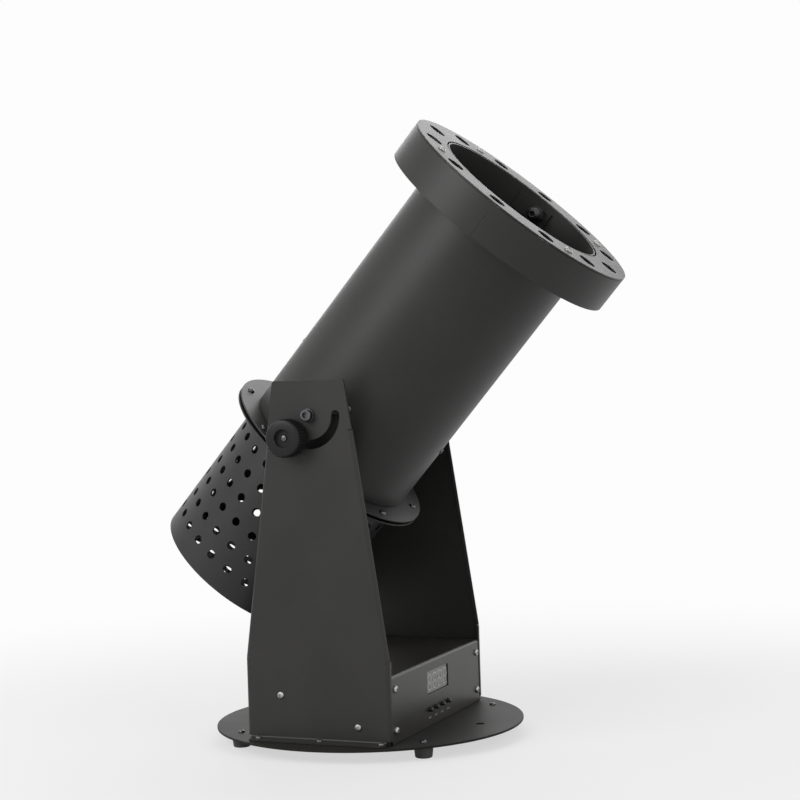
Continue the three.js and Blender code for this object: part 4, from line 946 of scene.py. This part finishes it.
class BLOWER_OT_connections(bpy.types.Operator):
    """Rear panel with the mains inlet, the two signal sockets and their screws"""
    bl_idname = "blower.connections"
    bl_label = "Connections"

    def execute(self, context):
        panel = block("back_panel", (-105.5, BOX_FACE - 1.5, BOX_BOTTOM), (105.5, BOX_FACE, 70.5))
        cut(panel, block("hole", (INLET_X - 14.8, 60, 31.2), (INLET_X + 14.8, 70, 51.8)))
        cut(panel, *[
            drill(11.6, -10, 10, 64, at(x, 66, CONNECTOR_HEIGHT) @ REAR)
            for x in SIGNAL_SOCKETS.values()
        ])
        fit(soften(panel, 0.25), "stand", "black_coat", "black_steel", "rear_panel")
        self.inlet()
        for name, x in SIGNAL_SOCKETS.items():
            self.socket(name, STAND @ at(x, 67.3, CONNECTOR_HEIGHT) @ REAR)
        panel_screws("rear_screw", BOX_FACE, REAR, context.scene.blower_stand.screw_head / MM)
        spots = [(INLET_X - 20, 69.7, 0), (INLET_X + 20, 69.7, 0)]
        for x in SIGNAL_SOCKETS.values():
            spots += [(x - 9.7, 69.3, 12.2), (x + 9.7, 69.3, -12.2)]
        places = [STAND @ at(x, y, CONNECTOR_HEIGHT + z) @ REAR for x, y, z in spots]
        screw = pan_screw("socket_screw", 4.6, 1.3)
        scatter("connector_screws", screw, places, "stand", "dark_steel", "dark_metal")
        return {"FINISHED"}

    def inlet(self):
        """A flanged cup with three blades."""
        along = (0, 1, 0)
        flange = rounded_block("inlet", (-86.5, 67.3, 29.5), (-37.5, 69.8, 53.5), along, 3, 5)
        cup = rounded_block("cup", (-76.5, 50.6, 31.5), (-47.5, 67.4, 51.5), along, 2, 4)
        for piece in (flange, cup):
            cut(piece, rounded_block("hollow", (-74.5, 52.6, 33.5), (-49.5, 75, 49.5), along, 1, 3))
        shell = joined("inlet_shell", [soften(flange, 0.3), soften(cup, 0.2)])
        fit(shell, "stand", "black_plastic", "dark_plastic", "power_inlet")
        blades = [
            soften(block("blade", (x - 1, 52.6, z - 2), (x + 1, 64.6, z + 2)), 0.5, 3)
            for x, z in ((INLET_X - 7, 39.5), (INLET_X + 7, 39.5), (INLET_X, 43.5))
        ]
        fit(joined("inlet_blades", blades), "stand", "zinc_plate", "bare_metal")

    def socket(self, name, place):
        """A round socket on its plate: pins where the signal comes in, an insert where it goes out."""
        plate = rounded_block("plate", (-13, -15.5, 0), (13, 15.5, 2), (0, 0, 1), 2, 4)
        cut(plate, bar("bore", 9, -5, 5, 64))
        soften(plate, 0.3)
        shell = smooth_turned("shell", [
            (9, 1.9), (9, -13), (3.5, -13), (3.5, -16), (11, -16), (11, 0.1), (10.6, 2.5), (10.2, 2.9),
            (9.3, 2.9),
        ], 64, tube=True)
        floor = turned("floor", [(3.6, -15.8), (3.6, -12.9)], 24)
        whole = settle(joined(f"{name}_shell", [plate, shell, floor]), place)
        give(whole, "stand", "dark_steel", "dark_metal", f"{name}_socket")
        contacts = [(4 * math.cos(math.radians(a)), 4 * math.sin(math.radians(a))) for a in (30, 150, 270)]
        if name == "signal_out":
            insert = turned("insert", [(1, -12.9), (6.6, -12.9), (7, -12.5), (7, -0.4), (6.6, 0), (1, 0)], 48)
            cut(insert, *[drill(1.5, -8, 5, 20, at(x, y, 0)) for x, y in contacts])
            give(settle(soften(insert, 0), place), "stand", "black_plastic", "dark_plastic")
        else:
            pin = smooth_turned("pin", [(1.2, -13), (1.2, -0.8), (0.8, -0.2), (0.4, 0)], 20)
            places = [place @ at(x, y, 0) for x, y in contacts]
            scatter(f"{name}_pins", pin, places, "stand", "zinc_plate", "bare_metal")


# Barrel

class BLOWER_OT_barrel(bpy.types.Operator):
    """Barrel tube, the two collar plates with their gasket, and the collar's screws and nuts"""
    bl_idname = "blower.barrel"
    bl_label = "Barrel"

    def execute(self, context):
        sizes = context.scene.blower_barrel
        outer = sizes.tube_diameter / MM / 2
        inner = outer - sizes.wall / MM
        collar, sheet, circle, upper, lower = 99.5, 1.5, 91, -45.9, -50.0
        coat, steel = "black_coat", "black_steel"
        for name, low, high, rim, edge, finish, slot, node in (
            ("tube", -45.6, 242.7, outer, 0.3, coat, steel, "barrel_tube"),
            ("collar_upper", upper - sheet, upper, collar, 0.3, coat, steel, "upper_flange"),
            ("collar_lower", lower - sheet, lower, collar, 0.3, coat, steel, "lower_flange"),
            ("gasket", -49.7, -47.7, 87, 0.4, "gasket_moulding", "gasket_rubber", "flange_gasket"),
        ):
            piece = ring(name, inner, rim, low, high, sizes.facets)
            fit(soften(piece, edge), "barrel", finish, slot, node)
        angles = [22.5 + 45 * i for i in range(8)]
        places = [BARREL @ around(angle, circle, upper) for angle in angles]
        screw = pan_screw("collar_screw", 6.2, 2.0)
        scatter("collar_screws", screw, places, "barrel", "dark_steel", "dark_metal")
        end = smooth_turned("end", [(1.9, 0), (1.9, 3.4), (1.5, 3.8)], 20)
        nut = joined("collar_nut", [hex_nut("collar_nut", 7, 2.6, 3.4), end])
        places = [BARREL @ around(angle, circle, lower - sheet) @ DOWN for angle in angles]
        scatter("collar_nuts", nut, places, "barrel", "dark_steel", "dark_metal")
        first_arm, arm_height = 10.5, 18
        places = [BARREL @ around(first_arm + 90 * i, outer, arm_height) @ RIGHT for i in range(4)]
        head = pan_screw("mount_screw", 5.2, 1.5)
        scatter("mount_screws", head, places, "barrel", "dark_steel", "dark_metal")
        return {"FINISHED"}


class BLOWER_OT_intake(bpy.types.Operator):
    """Perforated intake tube and the perforated plate in its end"""
    bl_idname = "blower.intake"
    bl_label = "Intake"

    def execute(self, context):
        sizes = context.scene.blower_barrel
        fit(self.guard(sizes), "barrel", "guard_coat", "black_steel", "intake_guard")
        radius = (sizes.tube_diameter / 2 - sizes.wall) / MM - 0.4
        grille = bar("grille", radius, -190.5, -189, sizes.facets)
        hole, pitch, rim = 4, 14, 2.5
        places = []
        for row in range(-6, 7):
            for column in range(-7, 8):
                x, y = (column + row % 2 / 2) * pitch, row * pitch * math.sin(math.radians(60))
                if math.hypot(x, y) <= radius - rim - hole:
                    places.append(at(x, y, 0))
        cut(grille, *repeated(bar("hole", hole, -200, -180, 20), places))
        fit(soften(grille, 0.2, 1), "barrel", "inner_coat", "black_steel", "intake_grille")
        return {"FINISHED"}

    def guard(self, sizes):
        """One cell of sheet with its hole, repeated in staggered rows, rolled up and thickened."""
        outer, count, pitch, rows = sizes.tube_diameter / MM / 2 - 0.12, 25, 19.7, 6
        first, end, top, seam = -169.3, -192.0, -51.8, 223
        wide = 2 * math.pi * outer / count
        cell = start(
            "cell", bpy.ops.mesh.primitive_grid_add,
            x_subdivisions=8, y_subdivisions=8, size=1, rotation=(math.pi / 2, 0, 0),
        )
        with editing(cell):
            mark("FACE", lambda f: max(abs(middle(f).x), abs(middle(f).z)) < 0.375)
            bpy.ops.mesh.delete(type="FACE")
            reshape((wide, 1, pitch))
            border = mm(pitch) * 0.45
            mark("EDGE", lambda e: e.is_boundary and max(abs(middle(e).x), abs(middle(e).z)) < border)
            bpy.ops.mesh.extrude_region_move()
            bpy.ops.transform.tosphere(value=1)
            share = sizes.intake_hole / 2 / max(v.co.length for v in edited().verts if v.select)
            bpy.ops.transform.resize(value=(share, 1, share), center_override=(0, 0, 0))
        cells = [(row, column) for row in range(rows) for column in range(count)]
        places = [at((column + row % 2 / 2) * wide, 0, row * pitch) for row, column in cells]
        sheet = joined("guard", repeated(cell, places))
        with editing(sheet, "EDGE"):
            merge(0.01)
        bend = math.radians(360 * (count + 0.5) / count)
        change(sheet, "SIMPLE_DEFORM", deform_method="BEND", deform_axis="Z", angle=bend)
        with editing(sheet, "EDGE"):
            merge(0.02)
            for edge, target in ((-pitch / 2, end - first), ((rows - 0.5) * pitch, top - first)):
                mark("EDGE", lambda e: e.is_boundary and abs(middle(e).z - mm(edge)) < mm(0.1))
                extrude(0, 0, target - edge)
            face_outside()
        settle(sheet, around(seam) @ at(0, -outer, first))
        with editing(sheet):
            take_all()
            faces = edited().faces
            faces.ensure_lookup_table()
            if faces[0].normal.dot(Vector((*middle(faces[0]).to_2d(), 0))) < 0:
                bpy.ops.mesh.flip_normals()
        return soften(thicken(sheet, sizes.wall / MM), 0)


class BLOWER_OT_muzzle(bpy.types.Operator):
    """Muzzle drum and face plate with its lamps, the long screws and their nuts"""
    bl_idname = "blower.muzzle"
    bl_label = "Muzzle ring"

    def execute(self, context):
        sizes = context.scene.blower_barrel
        outer = sizes.ring_diameter / MM / 2
        inner = sizes.tube_diameter / MM / 2 + 0.45
        mouth = sizes.tube_diameter / MM / 2 + 1.3
        facets = sizes.facets + 32
        sheet, back, sleeve, gap = 1.5, 208.3, 7, 0.3
        rim = MUZZLE_TOP - sheet - gap
        drum = turned("drum", [
            (inner, back), (outer, back), (outer, rim), (outer - sheet, rim), (outer - sheet, back + sheet),
            (inner + sheet, back + sheet), (inner + sheet, back + sleeve), (inner, back + sleeve),
        ], facets, tube=True)
        groove, seam_angle = 0.25, -170.3
        seam = block("seam", (outer - groove, -groove, back - gap), (outer + 1, groove, MUZZLE_TOP))
        cut(drum, settle(seam, turn(seam_angle)))
        fit(soften(drum, 0.5), "barrel", "black_coat", "black_steel", "muzzle_housing")
        face = ring("face", mouth, outer, MUZZLE_TOP - sheet, MUZZLE_TOP, facets)
        circle = (mouth + outer) / 2
        hole = bar("hole", sizes.lamp_hole / MM / 2, 230, 250, 48)
        cut(face, *repeated(hole, [around(angle, circle) for angle in LAMP_ANGLES]))
        fit(soften(face, 0.35), "barrel", "black_coat", "black_steel", "muzzle_face")
        self.lamps(outer, circle)
        screw = pan_screw("muzzle_screw", 7.4, 2.0)
        shank = smooth_turned("shank", [(1.4, -37.6), (2.0, -37.1), (2.0, 0.1)], 20)
        nut = smooth_turned("nut", [
            (2.0, -35.5), (3.0, -35.5), (3.2, -35.2), (3.2, -34.75), (2.0, -34.75),
        ], 28, tube=True)
        screw = joined("muzzle_screw", [screw, shank, nut])
        places = [BARREL @ around(FIRST_LAMP + 45 + 90 * i, circle, MUZZLE_TOP) for i in range(4)]
        nodes = [f"muzzle_screw_{i}" for i in range(1, 5)]
        scatter("muzzle_screws", screw, places, "barrel", "zinc_plate", "dark_metal", *nodes)
        return {"FINISHED"}

    def lamps(self, outer, circle):
        carrier = ring("carrier", 84, outer - 4, 234.9, 236.9, 160)
        hole = bar("hole", 7.2, 230, 250, 40)
        cut(carrier, *repeated(hole, [around(angle, circle) for angle in LAMP_ANGLES]))
        fit(soften(carrier, 0.2), "barrel", "black_plastic", "dark_plastic", "lens_ring")
        lens = smooth_turned("lens", [
            (7.6, 237.0), (7.6, 239.2), (7.0, 239.6), (6.4, 239.4), (5.6, 239.9), (4.0, 240.4), (2.0, 240.7),
            (0.5, 240.75),
        ])
        cup = smooth_turned("cup", [
            (2.4, 234.8), (7.1, 234.8), (7.1, 236.8), (6.9, 236.8), (5.2, 235.6), (2.4, 235.1),
        ], 40, tube=True)
        chip = soften(block("chip", (-1.5, -1.5, 234.7), (1.5, 1.5, 235.3)), 0.2)
        places = [BARREL @ around(angle, circle) for angle in LAMP_ANGLES]
        scatter("lamp_lenses", lens, places, "barrel", "lamp_glass", "clear_lens")
        scatter("lamp_cups", cup, places, "barrel", "lamp_cup", "bare_metal")
        scatter("lamp_chips", chip, places, "barrel", "lamp_chip", "display_face")


class BLOWER_OT_gland(bpy.types.Operator):
    """Small curved plate and the cable gland on the far wall of the bore"""
    bl_idname = "blower.gland"
    bl_label = "Gland"

    def execute(self, context):
        plate = copied("gland_backing", "gland_plate", 0.15)
        give(plate, "barrel", "black_coat", "inner_steel", "gland_plate")
        corner = 14 / math.sqrt(3)
        hexagon = soften(bar("hexagon", corner, 0, 6, 6), 0.5)
        nose = smooth_turned("nose", [
            (6.0, 5.9), (6.0, 7.0), (5.6, 7.3), (6.0, 7.6), (6.0, 8.6), (5.6, 8.9), (6.0, 9.2), (6.0, 10.6),
            (5.6, 12.0), (4.6, 13.6), (3.6, 14.6), (2.9, 15.0), (2.4, 14.8), (2.4, 11.0),
        ], 40)
        thread = smooth_turned("thread", [(4.1, -8), (4.5, -7.5), (4.5, 0.1)], 32)
        gland = joined("gland_body", [hexagon, nose, thread])
        bore, gap, backing, height = 78.5, 0.45, 1.2, 228.5
        seat = math.sqrt((bore - gap - backing) ** 2 - corner ** 2) - gap
        settle(gland, BARREL @ around(3, seat, height) @ LEFT)
        give(gland, "barrel", "black_plastic", "dark_plastic", "lead_gland")
        return {"FINISHED"}


class BLOWER_OT_fan(bpy.types.Operator):
    """Motor, mount, rotor, confetti screen and the brackets beside the barrel"""
    bl_idname = "blower.fan"
    bl_label = "Fan and screen"

    def execute(self, context):
        motor = smooth_turned("motor", [
            (28, -53.3), (33, -52.6), (35.2, -50.6), (36, -47.6), (36, -34), (35.2, -33.4), (35.2, -31.4),
            (36, -30.8), (36, 0), (35.2, 0.6), (35.2, 2.6), (36, 3.2), (36, 17), (35.2, 20), (33, 22),
            (30, 22.7), (12, 22.7), (12, 25.3), (4.3, 25.3), (4.3, 5),
        ], 96)
        fit(motor, "barrel", "cast_grey", "motor_case", "fan_motor")
        for name, node, body, width, finish, slot in (
            ("mount_frame", "motor_mount", "barrel", 0.3, "zinc_plate", "bare_metal"),
            ("screen_grid", "confetti_screen", "barrel", 0, "zinc_plate", "bare_metal"),
            ("shaft_bar", "motor_shaft", "rotor", 0.3, "zinc_plate", "bare_metal"),
            ("shaft_nut", "rotor_nut", "rotor", 0.3, "zinc_plate", "bare_metal"),
            ("right_arm", "right_bracket", "barrel", 0.35, "inner_coat", "inner_steel"),
            ("left_arm", "left_bracket", "barrel", 0.35, "inner_coat", "inner_steel"),
            ("right_inner", "right_inner_plate", "stand", 0.2, "inner_coat", "inner_steel"),
            ("left_inner", "left_inner_plate", "stand", 0.2, "inner_coat", "inner_steel"),
        ):
            give(copied(name, node, width), body, finish, slot, node)
        self.rotor()
        return {"FINISHED"}

    def rotor(self):
        """A cup-shaped hub with twisted, cambered blades."""
        hub = smooth_turned("rotor_hub", [
            (4.4, 31.2), (8, 31), (8, 51), (26.8, 51), (27, 31.4), (27.6, 31), (30.6, 31), (31, 31.4),
            (31, 50.6), (30.2, 53.2), (28, 54.6), (25, 55), (10, 55), (9, 54.4), (4.4, 54.4),
        ], 72, tube=True)
        count, root, span, height, camber = 7, 30, 46.5, 43, 2
        blade = start("blade", bpy.ops.mesh.primitive_grid_add, x_subdivisions=14, y_subdivisions=8, size=1)
        with editing(blade, "VERT"):
            take_all()
            bpy.ops.transform.resize(value=(mm(span), 1, 1), center_override=(0, 0, 0))
        for vertex in blade.data.vertices:
            share = vertex.co.x / mm(span) + 0.5
            chord = 27 + 13 * share
            pitch = math.radians(48 - 21 * share)
            along = vertex.co.y * chord
            across = -camber * (1 - (2 * vertex.co.y) ** 2)
            side = along * math.cos(pitch) - across * math.sin(pitch)
            rise = along * math.sin(pitch) + across * math.cos(pitch)
            radius = root + span * share
            vertex.co = Vector(mm(math.sqrt(max(radius * radius - side * side, 0)), side, height + rise))
        soften(thicken(blade, 2, offset=0), 0.5)
        rotor = joined("rotor_wheel", [hub, *repeated(blade, [turn(360 / count * i) for i in range(count)])])
        fit(rotor, "rotor", "fan_plastic", "rotor_plastic", "fan_rotor")


class BLOWER_OT_electronics(bpy.types.Operator):
    """Finishes for the boards and modules that stay as they are packed"""
    bl_idname = "blower.electronics"
    bl_label = "Electronics"

    def execute(self, context):
        for node, finish in {
            "control_board": "circuit_board", "power_supply": "zinc_plate", "fan_driver": "zinc_plate",
            "led_board": "lamp_board",
        }.items():
            obj = frame["nodes"][node]
            if not obj.material_slots:
                obj.data.materials.append(None)
            for slot in obj.material_slots:
                slot.material = bpy.data.materials[finish]
        return {"FINISHED"}


# Stage

class BLOWER_OT_stage(bpy.types.Operator):
    """Pale floor and surroundings, soft lamps and the camera"""
    bl_idname = "blower.stage"
    bl_label = "Stage"

    def execute(self, context):
        self.floor(context.scene.blower_colours.floor)
        self.surroundings()
        self.lamps()
        self.camera()
        context.scene.view_settings.view_transform = "Standard"
        return {"FINISHED"}

    def floor(self, colour):
        """Catches the shadow near the object and fades into the surroundings further out."""
        under_feet = -0.2
        floor = settle(start("floor", bpy.ops.mesh.primitive_plane_add, size=40), at(0, 0, under_feet))
        paint = Paint("floor_paint")
        light = paint.node("ShaderNodeLightPath")
        seen = paint.out(light, "Is Camera Ray")
        for ray in ("Is Transmission Ray", "Is Glossy Ray"):
            seen = paint.maths("MAXIMUM", seen, paint.out(light, ray))
        pale = paint.blend(paint.noise(60, 3), tint(colour, 0.985), colour)
        reach = paint.node("ShaderNodeVectorMath", {"operation": "LENGTH"}, {0: paint.place})
        distance = paint.out(reach, "Value")
        shade = paint.blend(paint.between(distance, 1.0, 1.7), pale, tint(colour, 0.15))
        paint.finish(Base_Color=shade, Roughness=0.9)
        far = (paint.between(distance, 0.2, 1.0) * 0.38 + 0.62) * seen
        glow = paint.node("ShaderNodeEmission", None, {"Color": (0.98, 0.98, 0.98), "Strength": 1.0})
        shaders = {0: far, 1: paint.out(paint.shader), 2: paint.out(glow)}
        mix = paint.node("ShaderNodeMixShader", None, shaders)
        paint.feed(paint.tree.nodes["Material Output"].inputs["Surface"], paint.out(mix))
        floor.data.materials.append(paint.material)

    def surroundings(self):
        """Pale to the camera, to glass and in reflections, and dim as a light, so that the lamps shape the
        object."""
        world = bpy.data.worlds.new("surroundings")
        bpy.context.scene.world = world
        world.use_nodes = True
        nodes, links = world.node_tree.nodes, world.node_tree.links
        background = nodes["Background"]
        background.inputs["Color"].default_value = (0.98, 0.98, 0.98, 1)
        light = nodes.new("ShaderNodeLightPath")
        seen = light.outputs["Is Camera Ray"]
        for ray in ("Is Transmission Ray", "Is Glossy Ray"):
            either = nodes.new("ShaderNodeMath")
            either.operation = "MAXIMUM"
            links.new(seen, either.inputs[0])
            links.new(light.outputs[ray], either.inputs[1])
            seen = either.outputs[0]
        strength = nodes.new("ShaderNodeMapRange")
        strength.inputs["To Min"].default_value = 0.22
        strength.inputs["To Max"].default_value = 1.0
        links.new(seen, strength.inputs["Value"])
        links.new(strength.outputs[0], background.inputs["Strength"])

    def lamps(self):
        """A soft key on the camera's left and a fill on its right, a wide panel high behind the object for
        the sheen of its edges and tops, and a faint low one behind it on the right."""
        target = Vector((0, 0, 0.28))
        for name, place, size, power in (
            ("key", (-1.6, 0.9, 1.35), 1.2, 24),
            ("panel_behind", (1.9, 0.7, 1.4), 1.8, 24),
            ("panel_beside", (1.9, -0.9, 0.5), 0.9, 3),
            ("fill", (-0.9, -1.9, 1.5), 1.6, 13),
        ):
            bpy.ops.object.select_all(action="DESELECT")
            bpy.ops.object.light_add(type="AREA", location=place)
            lamp = bpy.context.active_object
            lamp.name = lamp.data.name = name
            lamp.data.size = size
            lamp.data.energy = power
            lamp.rotation_mode = "QUATERNION"
            lamp.rotation_quaternion = (target - Vector(place)).to_track_quat("-Z", "Y")

    def camera(self):
        """Stands left of the front, a little above the pivot, as the photograph was taken."""
        bpy.ops.object.select_all(action="DESELECT")
        bpy.ops.object.camera_add()
        camera = bpy.context.active_object
        camera.name = camera.data.name = "camera"
        right = Vector((0.38791, -0.92118, -0.03095))
        up = Vector((0.02005, -0.02513, 0.99948))
        back = Vector((-0.92148, -0.38833, 0.00872))
        facing = Matrix((right, up, back)).transposed().to_4x4()
        camera.matrix_world = STAND @ at(-1503.28, -668.01, 332.86) @ facing
        camera.data.lens = 81.417
        camera.data.sensor_width = 36
        camera.data.shift_x = 0.00602
        camera.data.shift_y = -0.0238
        bpy.context.scene.camera = camera


STEPS = (
    BLOWER_OT_finishes, BLOWER_OT_base, BLOWER_OT_feet, BLOWER_OT_side_plates, BLOWER_OT_pivots,
    BLOWER_OT_control_panel, BLOWER_OT_connections, BLOWER_OT_barrel, BLOWER_OT_intake, BLOWER_OT_muzzle,
    BLOWER_OT_gland, BLOWER_OT_fan, BLOWER_OT_electronics, BLOWER_OT_stage,
)


class BLOWER_PT_panel(bpy.types.Panel):
    """Sizes, colours and the steps of the blower"""
    bl_label = "Confetti blower"
    bl_idname = "BLOWER_PT_panel"
    bl_space_type = "VIEW_3D"
    bl_region_type = "UI"
    bl_category = "Blower"

    def draw(self, context):
        scene = context.scene
        for group in (scene.blower_stand, scene.blower_barrel, scene.blower_colours):
            box = self.layout.box()
            for name in group.__annotations__:
                box.prop(group, name)
        for step in STEPS:
            self.layout.operator(step.bl_idname)


CLASSES = (BlowerStandSizes, BlowerBarrelSizes, BlowerColours, *STEPS, BLOWER_PT_panel)


def register():
    for cls in CLASSES:
        bpy.utils.register_class(cls)
    bpy.types.Scene.blower_stand = PointerProperty(type=BlowerStandSizes)
    bpy.types.Scene.blower_barrel = PointerProperty(type=BlowerBarrelSizes)
    bpy.types.Scene.blower_colours = PointerProperty(type=BlowerColours)


def unregister():
    del bpy.types.Scene.blower_stand
    del bpy.types.Scene.blower_barrel
    del bpy.types.Scene.blower_colours
    for cls in reversed(CLASSES):
        bpy.utils.unregister_class(cls)


def main():
    register()
    for step in STEPS:
        group, name = step.bl_idname.split(".")
        getattr(getattr(bpy.ops, group), name)()


if __name__ == "__main__":
    main()
